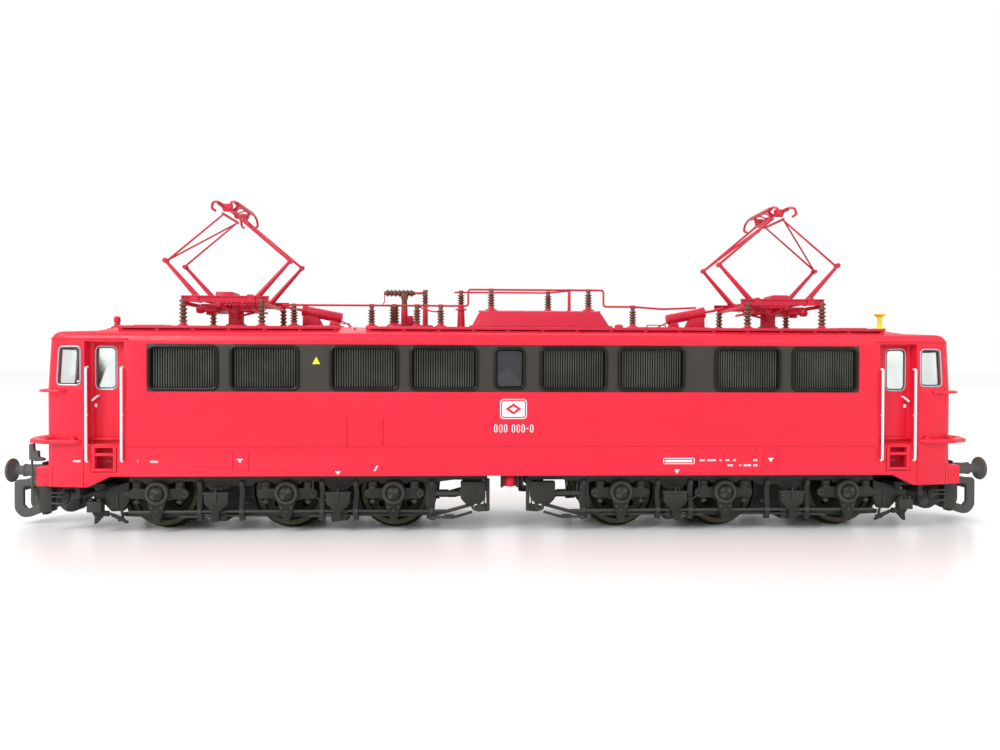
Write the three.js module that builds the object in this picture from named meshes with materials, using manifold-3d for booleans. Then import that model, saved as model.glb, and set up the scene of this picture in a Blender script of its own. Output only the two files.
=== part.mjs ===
// Model electric locomotive at 1:120 for 12 mm gauge track: six axles in two three-axle bogies,
// worm drive from one motor, two diamond pantographs, loop couplings. Millimetres.
// +X runs along the locomotive to its right-hand end, -Y is its near side, +Z is up.
// The origin is under its middle, on the surface that the flanges stand on.
import * as THREE from "three";
import { mergeVertices } from "three/addons/utils/BufferGeometryUtils.js";
import Module from "manifold-3d";

const wasm = await Module();
wasm.setup();

// ---- Driving dimensions ----
const BUFFER_SPAN = 155.3; // over the buffer heads
const BODY_HALF_WIDTH = 12.5;
const WALL = 1.1;
const SKIRT_Z = 9.1; // lower edge of the body between the doors
const PILOT_Z = 7.5; // lower edge of the body under the cabs
const SHOULDER_Z = 29.3; // where the side wall turns into the roof
const ROOF_Z = 32; // edge of the flat roof deck
const CROWN_Z = 32.3; // middle of the roof deck
const GAP = 0.1; // between pieces that touch

const WHEEL_BACK_Y = 5.1; // back of each wheel
const WHEEL_WIDTH = 2.2;
const TREAD_R = 5.5;
const FLANGE_R = 6.1;
const AXLE_Z = FLANGE_R;
const AXLE_R = 0.75;
const AXLE_X = [54, 34.3, 17.8]; // from the outer end inwards
const BOGIE_PIVOT_X = 35.9;

const BAND_HALF_LENGTH = 54.7; // dark window band along the side
const BAND_Z = [21.95, 29.15];
const LOUVRE_X = [9.94, 22.04, 37.08, 49.22]; // louvre middles, both ways from the middle window
const LOUVRE_SIZE = [10.2, 6.6];
const BAND_WINDOW_SIZE = [4.7, 6.5];

const DOOR_X = [57.95, 63.4]; // door recess
const DOOR_Z = [13.9, 29.5];
const RECESS_DEPTH = 1.9;
const FOOTHOLD_DEPTH = 1.2;
const STEP_Z = [9.5, 13.4]; // footholds under the door

const DRIVE_Z = 19.8; // motor and worm shafts
const BUFFER_Y = 7.3;
const BUFFER_Z = 9.45;
const BEAM_X = 71.7; // front face of the buffer beam
const COUPLING_PIVOT_X = 66.5;

const PANTO_X = 44.9; // middle of each pantograph
const PANTO_PIVOT_Z = 36.5;
const PANTO_BASE_HALF = 4.4; // base pivots from the pantograph's middle
const PANTO_TOP_HALF = 0.9; // top pivots from its middle
const LOWER_ARM = 8.3;
const UPPER_ARM = 11.8;
const LOWER_ANGLE = THREE.MathUtils.degToRad(48.5); // lower arm above the horizontal, raised
const INSULATOR_FOOT = 6.1; // pantograph insulators from its middle
const INSULATOR_Y = 7.3;

// ---- Materials ----
const paint = (color, roughness = 0.45, metalness = 0) =>
  new THREE.MeshStandardMaterial({ color, roughness, metalness });
const RED = paint(0xd8142c);
const ROOF_RED = paint(0xc21226);
const BAND_GREY = paint(0x35322e, 0.5);
const BLACK_PLASTIC = paint(0x1d1e1c, 0.55);
const FRAME_GREY = paint(0x33342f, 0.6);
const WHEEL_STEEL = paint(0x4a4a44, 0.4, 0.8);
const BRIGHT_STEEL = paint(0xa8a8a8, 0.3, 1);
const BRASS = paint(0xb8963e, 0.35, 1);
const ZINC = paint(0x77787a, 0.5, 0.8);
const BOARD_GREEN = paint(0x1c5a34, 0.5);
const CLEAR = paint(0xdfe8ea, 0.1);
const YELLOW = paint(0xf2c81e, 0.45);

// ---- Shapes: every helper returns a manifold solid ----
function solid(geometry) {
  const bare = geometry.index ? geometry : geometry.clone();
  bare.deleteAttribute("normal");
  bare.deleteAttribute("uv");
  const merged = mergeVertices(bare, 1e-4);
  const kept = [];
  const index = merged.index.array;
  for (let i = 0; i < index.length; i += 3) {
    const [a, b, c] = [index[i], index[i + 1], index[i + 2]];
    if (a !== b && b !== c && a !== c) kept.push(a, b, c);
  }
  const vertProperties = merged.attributes.position.array;
  const make = (tris) =>
    new wasm.Manifold(new wasm.Mesh({ numProp: 3, vertProperties, triVerts: new Uint32Array(tris) }));
  const made = make(kept);
  if (made.volume() > 0) return made;
  for (let i = 0; i < kept.length; i += 3) [kept[i + 1], kept[i + 2]] = [kept[i + 2], kept[i + 1]];
  return make(kept);
}

function toGeometry(body) {
  const { numProp, vertProperties, triVerts } = body.getMesh();
  const count = vertProperties.length / numProp;
  const position = new Float32Array(count * 3);
  for (let i = 0; i < count; i++) position.set(vertProperties.subarray(i * numProp, i * numProp + 3), i * 3);
  const geometry = new THREE.BufferGeometry();
  geometry.setAttribute("position", new THREE.BufferAttribute(position, 3));
  geometry.setIndex(new THREE.BufferAttribute(triVerts, 1));
  geometry.computeVertexNormals();
  return geometry;
}

const join = (...bodies) => bodies.flat().reduce((whole, body) => whole.add(body));
const cut = (body, ...tools) => tools.flat().reduce((left, tool) => left.subtract(tool), body);

function box([x0, x1], [y0, y1], [z0, z1]) {
  const geometry = new THREE.BoxGeometry(x1 - x0, y1 - y0, z1 - z0);
  return solid(geometry.translate((x0 + x1) / 2, (y0 + y1) / 2, (z0 + z1) / 2));
}

const around = (middle, half) => [middle - half, middle + half];
const both = (make) => [-1, 1].map(make);

// A rod from one point to another, its radius going from r0 to r1.
function rod(from, to, r0, r1 = r0, sides = 5) {
  const a = new THREE.Vector3(...from);
  const b = new THREE.Vector3(...to);
  const geometry = new THREE.CylinderGeometry(r1, r0, a.distanceTo(b), sides);
  geometry.applyQuaternion(
    new THREE.Quaternion().setFromUnitVectors(new THREE.Vector3(0, 1, 0), b.clone().sub(a).normalize()),
  );
  const middle = a.add(b).multiplyScalar(0.5);
  return solid(geometry.translate(middle.x, middle.y, middle.z));
}

// A bent wire through points: each straight run reaches a little past its ends, so that the runs join.
function wire(points, r, sides = 4) {
  return join(
    points.slice(1).map((point, i) => {
      const a = new THREE.Vector3(...points[i]);
      const b = new THREE.Vector3(...point);
      const past = b.clone().sub(a).setLength(r * 0.7);
      return rod(a.sub(past).toArray(), b.add(past).toArray(), r, r, sides);
    }),
  );
}

// A solid of revolution: profile points are [radius, height] from its foot, along axis "x", "y" or "z".
const TURN = {
  x: new THREE.Matrix4().makeRotationZ(-Math.PI / 2),
  y: new THREE.Matrix4(),
  z: new THREE.Matrix4().makeRotationX(Math.PI / 2),
};
function turned(profile, axis, [x, y, z], segments = 12, direction = 1) {
  const points = profile.map(([r, h]) => new THREE.Vector2(r, h * direction));
  const geometry = new THREE.LatheGeometry(points, segments).applyMatrix4(TURN[axis]);
  return solid(geometry.translate(x, y, z));
}

// An outline pushed through along one axis. "x": outline in Y and Z; "y": in X and Z; "z": in X and Y.
const PUSH = {
  x: [new THREE.Vector3(0, 1, 0), new THREE.Vector3(0, 0, 1), new THREE.Vector3(1, 0, 0)],
  y: [new THREE.Vector3(1, 0, 0), new THREE.Vector3(0, 0, 1), new THREE.Vector3(0, -1, 0)],
  z: [new THREE.Vector3(1, 0, 0), new THREE.Vector3(0, 1, 0), new THREE.Vector3(0, 0, 1)],
};
function prism(outline, axis, [low, high], curveSegments = 1) {
  const points = outline instanceof THREE.Shape ? null : outline.map(([u, v]) => new THREE.Vector2(u, v));
  const shape = points ? new THREE.Shape(points) : outline;
  const settings = { depth: high - low, bevelEnabled: false, curveSegments };
  const geometry = new THREE.ExtrudeGeometry(shape, settings);
  geometry.applyMatrix4(new THREE.Matrix4().makeBasis(...PUSH[axis]));
  const start = PUSH[axis][2].clone().multiplyScalar(axis === "y" ? -high : low);
  return solid(geometry.translate(start.x, start.y, start.z));
}

function roundedRectangle([u, v], [width, height], r) {
  const [u0, u1] = around(u, width / 2);
  const [v0, v1] = around(v, height / 2);
  const shape = new THREE.Shape();
  shape.moveTo(u0 + r, v0);
  shape.lineTo(u1 - r, v0).quadraticCurveTo(u1, v0, u1, v0 + r);
  shape.lineTo(u1, v1 - r).quadraticCurveTo(u1, v1, u1 - r, v1);
  shape.lineTo(u0 + r, v1).quadraticCurveTo(u0, v1, u0, v1 - r);
  shape.lineTo(u0, v0 + r).quadraticCurveTo(u0, v0, u0 + r, v0);
  return shape;
}

// The same geometry seen in a mirror across the X = 0 plane.
function mirrored(geometry) {
  const twin = geometry.clone().applyMatrix4(new THREE.Matrix4().makeScale(-1, 1, 1));
  const index = twin.index.array;
  for (let i = 0; i < index.length; i += 3) [index[i + 1], index[i + 2]] = [index[i + 2], index[i + 1]];
  twin.computeVertexNormals();
  return twin;
}

const locomotive = new THREE.Group();
function piece(name, shape, material) {
  const mesh = new THREE.Mesh(shape.isBufferGeometry ? shape : toGeometry(shape), material);
  mesh.name = name;
  locomotive.add(mesh);
}

// A piece modelled at the right-hand end, and its twin at the left-hand end.
function pieceAtBothEnds(name, body, material) {
  const geometry = toGeometry(body);
  piece(`${name}_right`, geometry, material);
  piece(`${name}_left`, mirrored(geometry), material);
}

// ---- Body shell ----
const CAB_TAPER_X = 63.8; // the cab narrows from here to the front corner
const CORNER = [69.9, 11.6];
const PROW_X = 70.9;
const SILL_Z = 22; // the front leans back above this
const LEAN = 0.065; // millimetres back per millimetre up

function planOutline(inset) {
  const w = BODY_HALF_WIDTH - inset;
  const corner = [CORNER[0] - inset, CORNER[1] - inset];
  const end = [[CAB_TAPER_X, -w], [corner[0], -corner[1]], [PROW_X - inset, 0], corner, [CAB_TAPER_X, w]];
  return [...end, ...end.map(([x, y]) => [-x, y]).reverse()];
}

// The plan pushed up in two steps, with everything above the sill drawn back to the leaning cab front.
function leaningPlan(inset, low, topZ) {
  const shape = new THREE.Shape(planOutline(inset).map(([x, y]) => new THREE.Vector2(x, y)));
  const depth = topZ - low;
  const geometry = new THREE.ExtrudeGeometry(shape, { depth, steps: 2, bevelEnabled: false });
  geometry.translate(0, 0, low);
  const position = geometry.attributes.position;
  for (let i = 0; i < position.count; i++) {
    const x = position.getX(i);
    const above = Math.max(0, position.getZ(i) - SILL_Z);
    if (Math.abs(x) > CAB_TAPER_X + 1) position.setX(i, x - Math.sign(x) * above * LEAN);
  }
  return solid(geometry);
}

function roofSection(inset, low) {
  const w = BODY_HALF_WIDTH - inset;
  const shoulder = SHOULDER_Z - inset / 2;
  const roof = ROOF_Z - inset;
  const shape = new THREE.Shape();
  shape.moveTo(-w, low);
  shape.lineTo(w, low);
  shape.lineTo(w, shoulder);
  shape.bezierCurveTo(w, shoulder + 1, 11.4, roof - 0.9, 9.6, roof - 0.5);
  shape.lineTo(7.6, roof);
  shape.lineTo(0, CROWN_Z - inset);
  shape.lineTo(-7.6, roof);
  shape.lineTo(-9.6, roof - 0.5);
  shape.bezierCurveTo(-11.4, roof - 0.9, -w, shoulder + 1, -w, shoulder);
  return shape;
}

// Side view that trims the roof over each cab and the lower edge under it.
function sideOutline(inset) {
  const half = [
    [60, SKIRT_Z - inset],
    [CAB_TAPER_X, PILOT_Z - inset],
    [72, PILOT_Z - inset],
    [72, 29.6 - inset],
    [69.7, 31 - inset],
    [62.5, 33 - inset],
  ];
  return [...half, ...half.map(([x, z]) => [-x, z]).reverse()];
}

function doorway(side) {
  const outer = side * BODY_HALF_WIDTH;
  const span = (...depths) => depths.map((depth) => outer - side * depth).sort((a, b) => a - b);
  const liningX = [DOOR_X[0] - 0.6, DOOR_X[1] + 0.6];
  const footholdX = [DOOR_X[0] + 0.6, DOOR_X[1] - 0.4];
  const tread = span(0.1, FOOTHOLD_DEPTH);
  return {
    lining: [
      box(liningX, span(0.2, RECESS_DEPTH + 1), [STEP_Z[1] - 0.2, DOOR_Z[1] + 0.6]),
      box(liningX, span(0.2, FOOTHOLD_DEPTH + 0.4), [SKIRT_Z + 0.1, STEP_Z[1] + 0.2]),
    ],
    recess: [box(DOOR_X, span(-1, RECESS_DEPTH), DOOR_Z), box(footholdX, span(-1, FOOTHOLD_DEPTH), STEP_Z)],
    treads: [12.1, 9.6].map((z) => box([footholdX[0] - 0.2, footholdX[1] + 0.2], tread, [z, z + 0.4])),
    window: prism(
      roundedRectangle([61.65, 25.5], [3.3, 6.6], 0.8),
      "y",
      [side < 0 ? -13 : 9, side < 0 ? -9 : 13],
    ),
  };
}

function handrails(side) {
  const y = side * (BODY_HALF_WIDTH + 0.5);
  const foot = side * (BODY_HALF_WIDTH - 0.4);
  const path = (x) => [
    [x, foot, 11.4],
    [x, y, 11.4],
    [x, y, 25.6],
    [x, foot, 25.6],
  ];
  return [DOOR_X[0] - 0.1, DOOR_X[1] + 0.15].flatMap((x) => wire(path(x), 0.26));
}

const WALKWAY_Y = [8.1, 10.5];
const WALKWAY_Z = [31.45, 32];
const WALKWAY_X = [[-62.3, -26.3], [-22.1, 62.3]];
function walkway(side) {
  const y = WALKWAY_Y.map((v) => v * side).sort((a, b) => a - b);
  const bearer = [9.2, 9.8].map((v) => v * side).sort((a, b) => a - b);
  return WALKWAY_X.flatMap(([x0, x1]) => [
    box([x0, x1], y, WALKWAY_Z),
    box([x0 + 1, x1 - 1], bearer, [30.8, 31.6]),
  ]);
}

// The step board that runs round the front under the windows, and its brackets.
function frontStep() {
  const top = [
    [64.6, -13.1], [69.6, -13.1], [73, -11], [74.3, -7.4],
    [74.3, 7.4], [73, 11], [69.6, 13.1], [64.6, 13.1],
  ];
  const inner = [
    [64.6, 12.2], [69.4, 11.4], [72.2, 9.8], [73.2, 6.8],
    [73.2, -6.8], [72.2, -9.8], [69.4, -11.4], [64.6, -12.2],
  ];
  const brackets = [-6.5, 0, 6.5].map((y) => box([69.8, 73.8], around(y, 0.25), [14.35, 14.8]));
  return [prism([...top, ...inner], "z", [14.3, 14.75]), ...brackets];
}

function bodyShell() {
  const outer = prism(roofSection(0, 5), "x", [-73, 73])
    .intersect(leaningPlan(0, 7, 37))
    .intersect(prism(sideOutline(0), "y", [-14, 14]));
  const cavity = prism(roofSection(WALL, 4), "x", [-73, 73])
    .intersect(leaningPlan(WALL, 4, 40))
    .intersect(prism(sideOutline(WALL), "y", [-14, 14]));
  const doors = both(doorway);
  const mirrorX = (body) => [body, solid(mirrored(toGeometry(body)))];
  const windows = [
    prism([[64.65, 28.9], [64.65, 22.8], [68.2, 22.8], [67.75, 28.9]], "y", [-14, 14]),
    ...both((side) => prism(roundedRectangle([side * 5.4, 25.6], [8.4, 5.9], 0.8), "x", [66, 73])),
  ];
  const band = both((side) =>
    box(around(0, BAND_HALF_LENGTH), side < 0 ? [-13, -10] : [10, 13], BAND_Z),
  );
  const beam = box([69.2, BEAM_X], around(0, 11.2), [PILOT_Z, 10.7]);
  const cabRoofWell = box([64, 69], around(0, 9), [4, 12]);
  let shell = cut(outer, cavity);
  shell = join(shell, doors.flatMap((d) => d.lining.flatMap(mirrorX)), mirrorX(beam));
  const doorways = doors.flatMap((d) => [...d.recess, d.window].flatMap(mirrorX));
  shell = cut(shell, doorways, windows.flatMap(mirrorX), band);
  shell = cut(shell, mirrorX(cabRoofWell));
  const extras = [...doors.flatMap((d) => d.treads), ...both(handrails).flat(), ...frontStep()];
  return join(shell, extras.flatMap(mirrorX), both(walkway).flat());
}

// ---- Side panels and glazing ----
function louvrePanel(side) {
  const [inner, outer] = [11.5, 12.4].map((v) => v * side);
  const y = [inner, outer].sort((a, b) => a - b);
  const pocket = [outer - side * 0.3, outer + side].sort((a, b) => a - b);
  const middle = (BAND_Z[0] + BAND_Z[1]) / 2;
  const panel = box(around(0, BAND_HALF_LENGTH - GAP), y, [BAND_Z[0] + GAP, BAND_Z[1] - GAP]);
  const louvres = LOUVRE_X.flatMap((x) => both((s) => roundedRectangle([s * x, middle], LOUVRE_SIZE, 0.9)));
  const holes = [...louvres, roundedRectangle([0.1, middle], BAND_WINDOW_SIZE, 0.8)];
  return cut(panel, holes.map((outline) => prism(outline, "y", pocket, 1)));
}

function cabGlazing() {
  const z = [21.9, 29.1];
  const sides = both((side) => {
    const span = (a, b) => [a * side, b * side].sort((p, q) => p - q);
    return [
      box([64.6, 68.3], span(9.9, 10.4), z),
      box([64.6, 65.1], span(8.9, 10.4), z),
      box([59.4, 65.1], span(8.9, 9.4), z),
    ];
  });
  return join(box([67.8, 68.3], around(0, 10.4), z), sides.flat());
}

// ---- Chassis, motor and drive ----
function chassisFrame() {
  const floor = [
    box(around(0, 56.8), around(0, 10.8), [13, 14.6]),
    box(around(0, 67.6), around(0, 8.7), [13, 14.6]),
  ];
  const weights = both((side) => box(around(0, 55), side < 0 ? [-10.8, -7.9] : [7.9, 10.8], [14.5, 26.5]));
  const ends = both((end) => [
    box(end < 0 ? [-55, -48.5] : [48.5, 55], around(0, 8), [14.5, 24]),
    box(end < 0 ? [-66.2, -64.4] : [64.4, 66.2], around(0, 2.6), [7.4, 13.2]),
    box(end < 0 ? [-70.4, -62.6] : [62.6, 70.4], around(0, 8.6), [6.9, 7.4]),
    rod([end * COUPLING_PIVOT_X, 0, 4.5], [end * COUPLING_PIVOT_X, 0, 7.1], 0.6, 0.6, 8),
    both((side) => rod([end * 67.4, side * 4.6, 5.7], [end * 67.4, side * 8.5, 5.7], 1.5, 1.5, 12)),
  ]);
  const standPad = box(around(0, 4.5), around(0, 5), [9, 13.1]);
  const motorBed = box(around(0, 10), around(0, 5), [14.5, 14.9]);
  const towerWells = both((end) => box(around(end * BOGIE_PIVOT_X, 9.6), around(0, 6.2), [12, 15]));
  return cut(join(floor, weights, ends.flat(2), standPad, motorBed), towerWells);
}

const MOTOR_HALF = 11;
function motor() {
  const can = prism(roundedRectangle([0, DRIVE_Z], [12.6, 9.4], 1.6), "x", around(0, MOTOR_HALF));
  const bearingLength = 2 * MOTOR_HALF + 1.2;
  const bearings = turned(
    [[0, 0], [2.2, 0], [2.2, bearingLength], [0, bearingLength]],
    "x",
    [-MOTOR_HALF - 0.6, 0, DRIVE_Z],
  );
  const bore = rod([-13, 0, DRIVE_Z], [13, 0, DRIVE_Z], 0.9, 0.9, 12);
  return cut(join(can, bearings), bore);
}

function motorShaft() {
  const half = [[0, 20.6], [1.5, 20.6], [1.5, 19.2], [5.1, 19.2], [5.1, 12.4], [0.75, 12.4]];
  const profile = [...half, ...half.map(([r, h]) => [r, -h]).reverse()];
  return turned(profile, "x", [0, 0, DRIVE_Z], 12);
}

function cardanShaft() {
  const profile = [
    [0, 0], [1.1, 0], [1.3, 1], [0.6, 1.8],
    [0.6, 4.4], [1.3, 5.2], [1.1, 6.2], [0, 6.2],
  ];
  return turned(profile, "x", [21.1, 0, DRIVE_Z], 6);
}

const WORM = { from: 28, to: 43.6, shaftR: 0.85, threadR: 2.4 };
function worm() {
  const ridges = Array.from({ length: 4 }, (_, i) => 5.2 + i * 1.5).flatMap((h) => [
    [1.6, h],
    [WORM.threadR, h + 0.75],
  ]);
  const length = WORM.to - WORM.from;
  const profile = [
    [0, 0], [WORM.shaftR, 0], [WORM.shaftR, 4], [1.6, 4],
    ...ridges,
    [1.6, 11.6], [WORM.shaftR, 11.6], [WORM.shaftR, length], [0, length],
  ];
  return turned(profile, "x", [WORM.from, 0, DRIVE_Z], 8);
}

function gearbox() {
  const trough = box([AXLE_X[2] - 3.9, AXLE_X[0] + 3.9], around(0, 3.7), [2.4, 10.4]);
  const tower = box([29.2, 42.6], around(0, 3.9), [8, 22.4]);
  const wormWell = box([30.8, 41], around(0, 2.8), [16.6, 23]);
  const bearing = rod([27, 0, DRIVE_Z], [45, 0, DRIVE_Z], 1, 1, 10);
  const gearWells = AXLE_X.map((x) => box(around(x, 3.4), around(0, 1.3), [1, 9.6]));
  const axleBores = AXLE_X.map((x) => rod([x, -5, AXLE_Z], [x, 5, AXLE_Z], 0.95, 0.95, 10));
  const axleSlots = AXLE_X.map((x) => box(around(x, 0.9), around(0, 5), [1, AXLE_Z]));
  return cut(join(trough, tower), wormWell, bearing, gearWells, axleBores, axleSlots);
}

// ---- Wheels ----
function axle(x) {
  const half = [[0, 8.3], [AXLE_R, 8.3], [AXLE_R, 1], [3, 1]];
  const profile = [...half, ...half.map(([r, h]) => [r, -h]).reverse()];
  return turned(profile, "y", [x, 0, AXLE_Z], 8);
}

function wheel(x, side) {
  const bore = AXLE_R + 0.05;
  const profile = [
    [bore, 0], [FLANGE_R, 0], [TREAD_R, 0.7],
    [TREAD_R, WHEEL_WIDTH], [bore, WHEEL_WIDTH], [bore, 0],
  ];
  return turned(profile, "y", [x, side * WHEEL_BACK_Y, AXLE_Z], 14, side);
}

// ---- Bogie frame: two side frames, their keeper plate and cross bars, modelled at the right-hand end ----
const FRAME_Y = [8.8, 9.8];
const HOPPER_X = [26.3, 44.9];
const HANGER_X = [11.9, 23.7, 28.9, 41.2, 47.6];

// Lever across an axlebox with a spring stack at each end, reaching up to the frame beam.
function springSetOutline(x) {
  const half = [[2.3, 4.6], [3.5, 4.6], [3.5, 8], [2.3, 8], [2.3, 6.6]];
  const mirroredHalf = half.map(([u, z]) => [-u, z]).reverse();
  return [...half, ...mirroredHalf, [-2.3, 5.6], [2.3, 5.6]].map(([u, z]) => [x + u, z]);
}

function sideFrame(side) {
  const span = (a, b) => [a * side, b * side].sort((p, q) => p - q);
  const plate = span(...FRAME_Y);
  const beam = box([3, 58.5], plate, [7.9, 8.8]);
  const brakeRod = box([9.6, 58.6], span(9.6, 10.2), [3.2, 3.8]);
  const hangers = HANGER_X.map((x) => box(around(x, 0.45), span(9.1, 9.9), [2, 8.1]));
  const axleboxes = AXLE_X.flatMap((x) => [
    prism(
      [
        [x - 1.9, 8.1], [x - 1.6, 4.8], [x - 0.4, 1.5],
        [x + 0.4, 1.5], [x + 1.6, 4.8], [x + 1.9, 8.1],
      ],
      "y",
      span(8.7, 10.6),
    ),
    prism(springSetOutline(x), "y", span(9, 10)),
    turned([[0, -0.1], [1.35, -0.1], [1, 0.65], [0, 0.85]], "y", [x, side * 10.6, AXLE_Z], 6, side),
  ]);
  const hoppers = HOPPER_X.map((x) =>
    prism(
      [
        [x - 1.8, 6.3], [x - 1.8, 4.6], [x - 0.5, 3.2],
        [x + 0.5, 3.2], [x + 1.8, 4.6], [x + 1.8, 6.3],
      ],
      "y",
      span(9.3, 11),
    ),
  );
  const webs = HOPPER_X.map((x) => box(around(x, 1.3), span(9.2, 9.7), [1.9, 8]));
  const innerBox = box([3.4, 7.4], span(8.9, 10.6), [4.3, 8]);
  const innerLink = rod([5, side * 9.7, 4.6], [12.1, side * 9.6, 2.6], 0.4, 0.4, 4);
  const outerBar = box([57, 59.3], span(9.3, 9.9), [5.7, 6.5]);
  const hopperOutline = [
    [58.6, 6.8], [58.6, 5.1], [59.6, 4],
    [60.9, 4], [61.8, 5.1], [61.8, 6.8],
  ];
  const outerHopper = prism(hopperOutline, "y", span(9, 10.8));
  return join(beam, brakeRod, hangers, axleboxes, hoppers, webs, innerBox, innerLink, outerBar, outerHopper);
}

function bogieFrame() {
  const keeper = box([13.6, 58.2], around(0, 3.7), [1.6, 2.2]);
  const bars = HOPPER_X.map((x) => box(around(x, 1.3), around(0, 9.4), [1.6, 2.2]));
  return join(both(sideFrame), keeper, bars);
}

// ---- Ends: buffers and couplings ----
function buffer(side) {
  const start = BEAM_X + GAP / 2;
  const length = BUFFER_SPAN / 2 - start;
  const profile = [
    [0, 0], [1.15, 0], [1.15, 3.2], [0.8, 3.2],
    [0.8, length - 0.8], [1.85, length - 0.5], [1.85, length], [0, length],
  ];
  return turned(profile, "x", [start, side * BUFFER_Y, BUFFER_Z], 10);
}

// Head of the loop coupling, seen from the side: a closed ring of flat bar on each side of the shank.
const LOOP_OUTER = [
  [73.2, 6.9], [79.2, 6.9], [79.8, 6.2], [79.8, 2.4], [79.2, 1.4],
  [78, 1.1], [72.8, 2.8], [72.8, 3.7], [74.6, 4.9],
];
const LOOP_INNER = [[75.4, 5.9], [78.7, 5.9], [78.7, 2.6], [78.1, 2.2], [75.4, 3.1]];
function coupling() {
  const shank = box([COUPLING_PIVOT_X, 74.8], around(0, 1.1), [5.2, 6.3]);
  const eye = rod([COUPLING_PIVOT_X, 0, 5.2], [COUPLING_PIVOT_X, 0, 6.3], 1.6, 1.6, 12);
  const pinHole = rod([COUPLING_PIVOT_X, 0, 4], [COUPLING_PIVOT_X, 0, 7], 0.75, 0.75, 12);
  const cheeks = both((side) => {
    const y = [side * 2, side * 2.7].sort((a, b) => a - b);
    return cut(prism(LOOP_OUTER, "y", y), prism(LOOP_INNER, "y", y));
  });
  const bars = [box([78.7, 79.8], around(0, 2.6), [5.3, 6.8]), box([77, 78.6], around(0, 2.6), [1.45, 2.1])];
  const bridge = box([73.4, 74.8], around(0, 2.6), [5, 6.6]);
  const hookOutline = [
    [74.6, 5.8], [77.4, 5.8], [77.4, 4.4],
    [76.7, 4.4], [76.3, 5.1], [74.6, 5.1],
  ];
  const hook = prism(hookOutline, "y", around(0, 0.5));
  return join(cut(join(shank, eye), pinHole), cheeks, bars, bridge, hook);
}

// ---- Roof equipment ----
function insulator([x, y, z], height, r = 0.62) {
  const sheds = 3;
  const step = (height - 1) / sheds;
  const ribs = Array.from({ length: sheds }, (_, i) => 0.5 + i * step).flatMap((h) => [
    [r * 0.55, h],
    [r, h + step / 2],
  ]);
  const profile = [[0, 0], [r * 1.3, 0], ...ribs, [r * 0.55, height - 0.5], [r * 0.55, height], [0, height]];
  return turned(profile, "z", [x, y, z], 5);
}

const HOOD = { base: [-5.8, 16.7], top: [-4.3, 15.1], baseY: 6.2, topY: 5, z: [CROWN_Z + GAP, 35] };
function roofHood() {
  const endView = [
    [-HOOD.baseY, HOOD.z[0]], [HOOD.baseY, HOOD.z[0]],
    [HOOD.topY, HOOD.z[1]], [-HOOD.topY, HOOD.z[1]],
  ];
  const sideView = [
    [HOOD.base[0], HOOD.z[0]], [HOOD.base[1], HOOD.z[0]],
    [HOOD.top[1], HOOD.z[1]], [HOOD.top[0], HOOD.z[1]],
  ];
  return prism(endView, "x", [-8, 19]).intersect(prism(sideView, "y", [-8, 8]));
}

const DECK = CROWN_Z + GAP;
const HOOD_TOP = HOOD.z[1] + GAP;
const BUS_Y = -3;
const LOW_BUS_Z = 35.8;
const HIGH_BUS_Z = 38.5;
function busbar() {
  const low = LOW_BUS_Z - DECK + 0.1;
  const high = HIGH_BUS_Z - HOOD_TOP + 0.1;
  return join(
    [-34.7, -22.1, -18.4, -14.7, -10.8, 21].map((x) => insulator([x, BUS_Y, DECK], low)),
    [-2.5, 10.4, 13.6].map((x) => insulator([x, BUS_Y, HOOD_TOP], high)),
    insulator([7.2, 0, HOOD_TOP], high),
    rod([-7.5, 0, DECK], [-7.5, 0, 35.7], 0.6, 0.5, 8),
    insulator([-7.5, 0, 35.5], HIGH_BUS_Z - 35.4),
    wire(
      [
        [-36.6, BUS_Y, LOW_BUS_Z],
        [-6.3, BUS_Y, LOW_BUS_Z],
        [-6.3, BUS_Y, HIGH_BUS_Z],
        [16.1, BUS_Y, HIGH_BUS_Z],
        [16.1, BUS_Y, LOW_BUS_Z],
        [31.6, BUS_Y, LOW_BUS_Z - 0.3],
      ],
      0.2,
    ),
    wire([[-9.2, 0, HIGH_BUS_Z], [7.2, 0, HIGH_BUS_Z], [10.4, BUS_Y, HIGH_BUS_Z]], 0.2),
  );
}

function circuitBreaker() {
  const ribs = Array.from({ length: 5 }, (_, i) => 0.2 + i).flatMap((h) => [
    [0.4, h],
    [0.62, h + 0.5],
  ]);
  const chamber = turned([[0, 0], ...ribs, [0.4, 5.2], [0, 5.2]], "x", [-20.4, 0, 38.1], 6);
  return join(
    chamber,
    rod([-17, 0, DECK], [-17, 0, 35.4], 0.8, 0.6),
    rod([-17, 0, 35.2], [-17, 0, 38], 0.4),
    rod([-15.4, 0, 38.1], [-13.4, 0, 38.1], 0.22, 0.22, 4),
    rod([-13.5, 0, DECK], [-13.5, 0, 35.6], 0.5, 0.45),
    rod([-13.5, 0, 35.4], [-13.5, 0, 38.7], 0.42),
    box([-18, -12.6], around(0, 0.7), [DECK, DECK + 0.5]),
  );
}

// Inclined lowering cylinder beside each pantograph, on its bracket.
function loweringCylinder() {
  return join(
    rod([27.4, 0, 33.9], [34, 0, 35.2], 0.75, 0.75, 8),
    rod([34, 0, 35.2], [37.2, 0, 35.9], 0.28),
    prism([[31.2, DECK], [34, DECK], [34, 35], [31.6, 34.6]], "y", around(0, 0.5)),
    prism([[27.8, DECK], [29.4, DECK], [29, 34.2], [28.2, 34]], "y", around(0, 0.5)),
  );
}

function horn(x) {
  return turned([[0, 0], [1, 0], [0.35, 0.5], [0.35, 2.1], [0.75, 2.7], [0, 2.7]], "z", [x, 0, DECK], 8);
}

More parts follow.
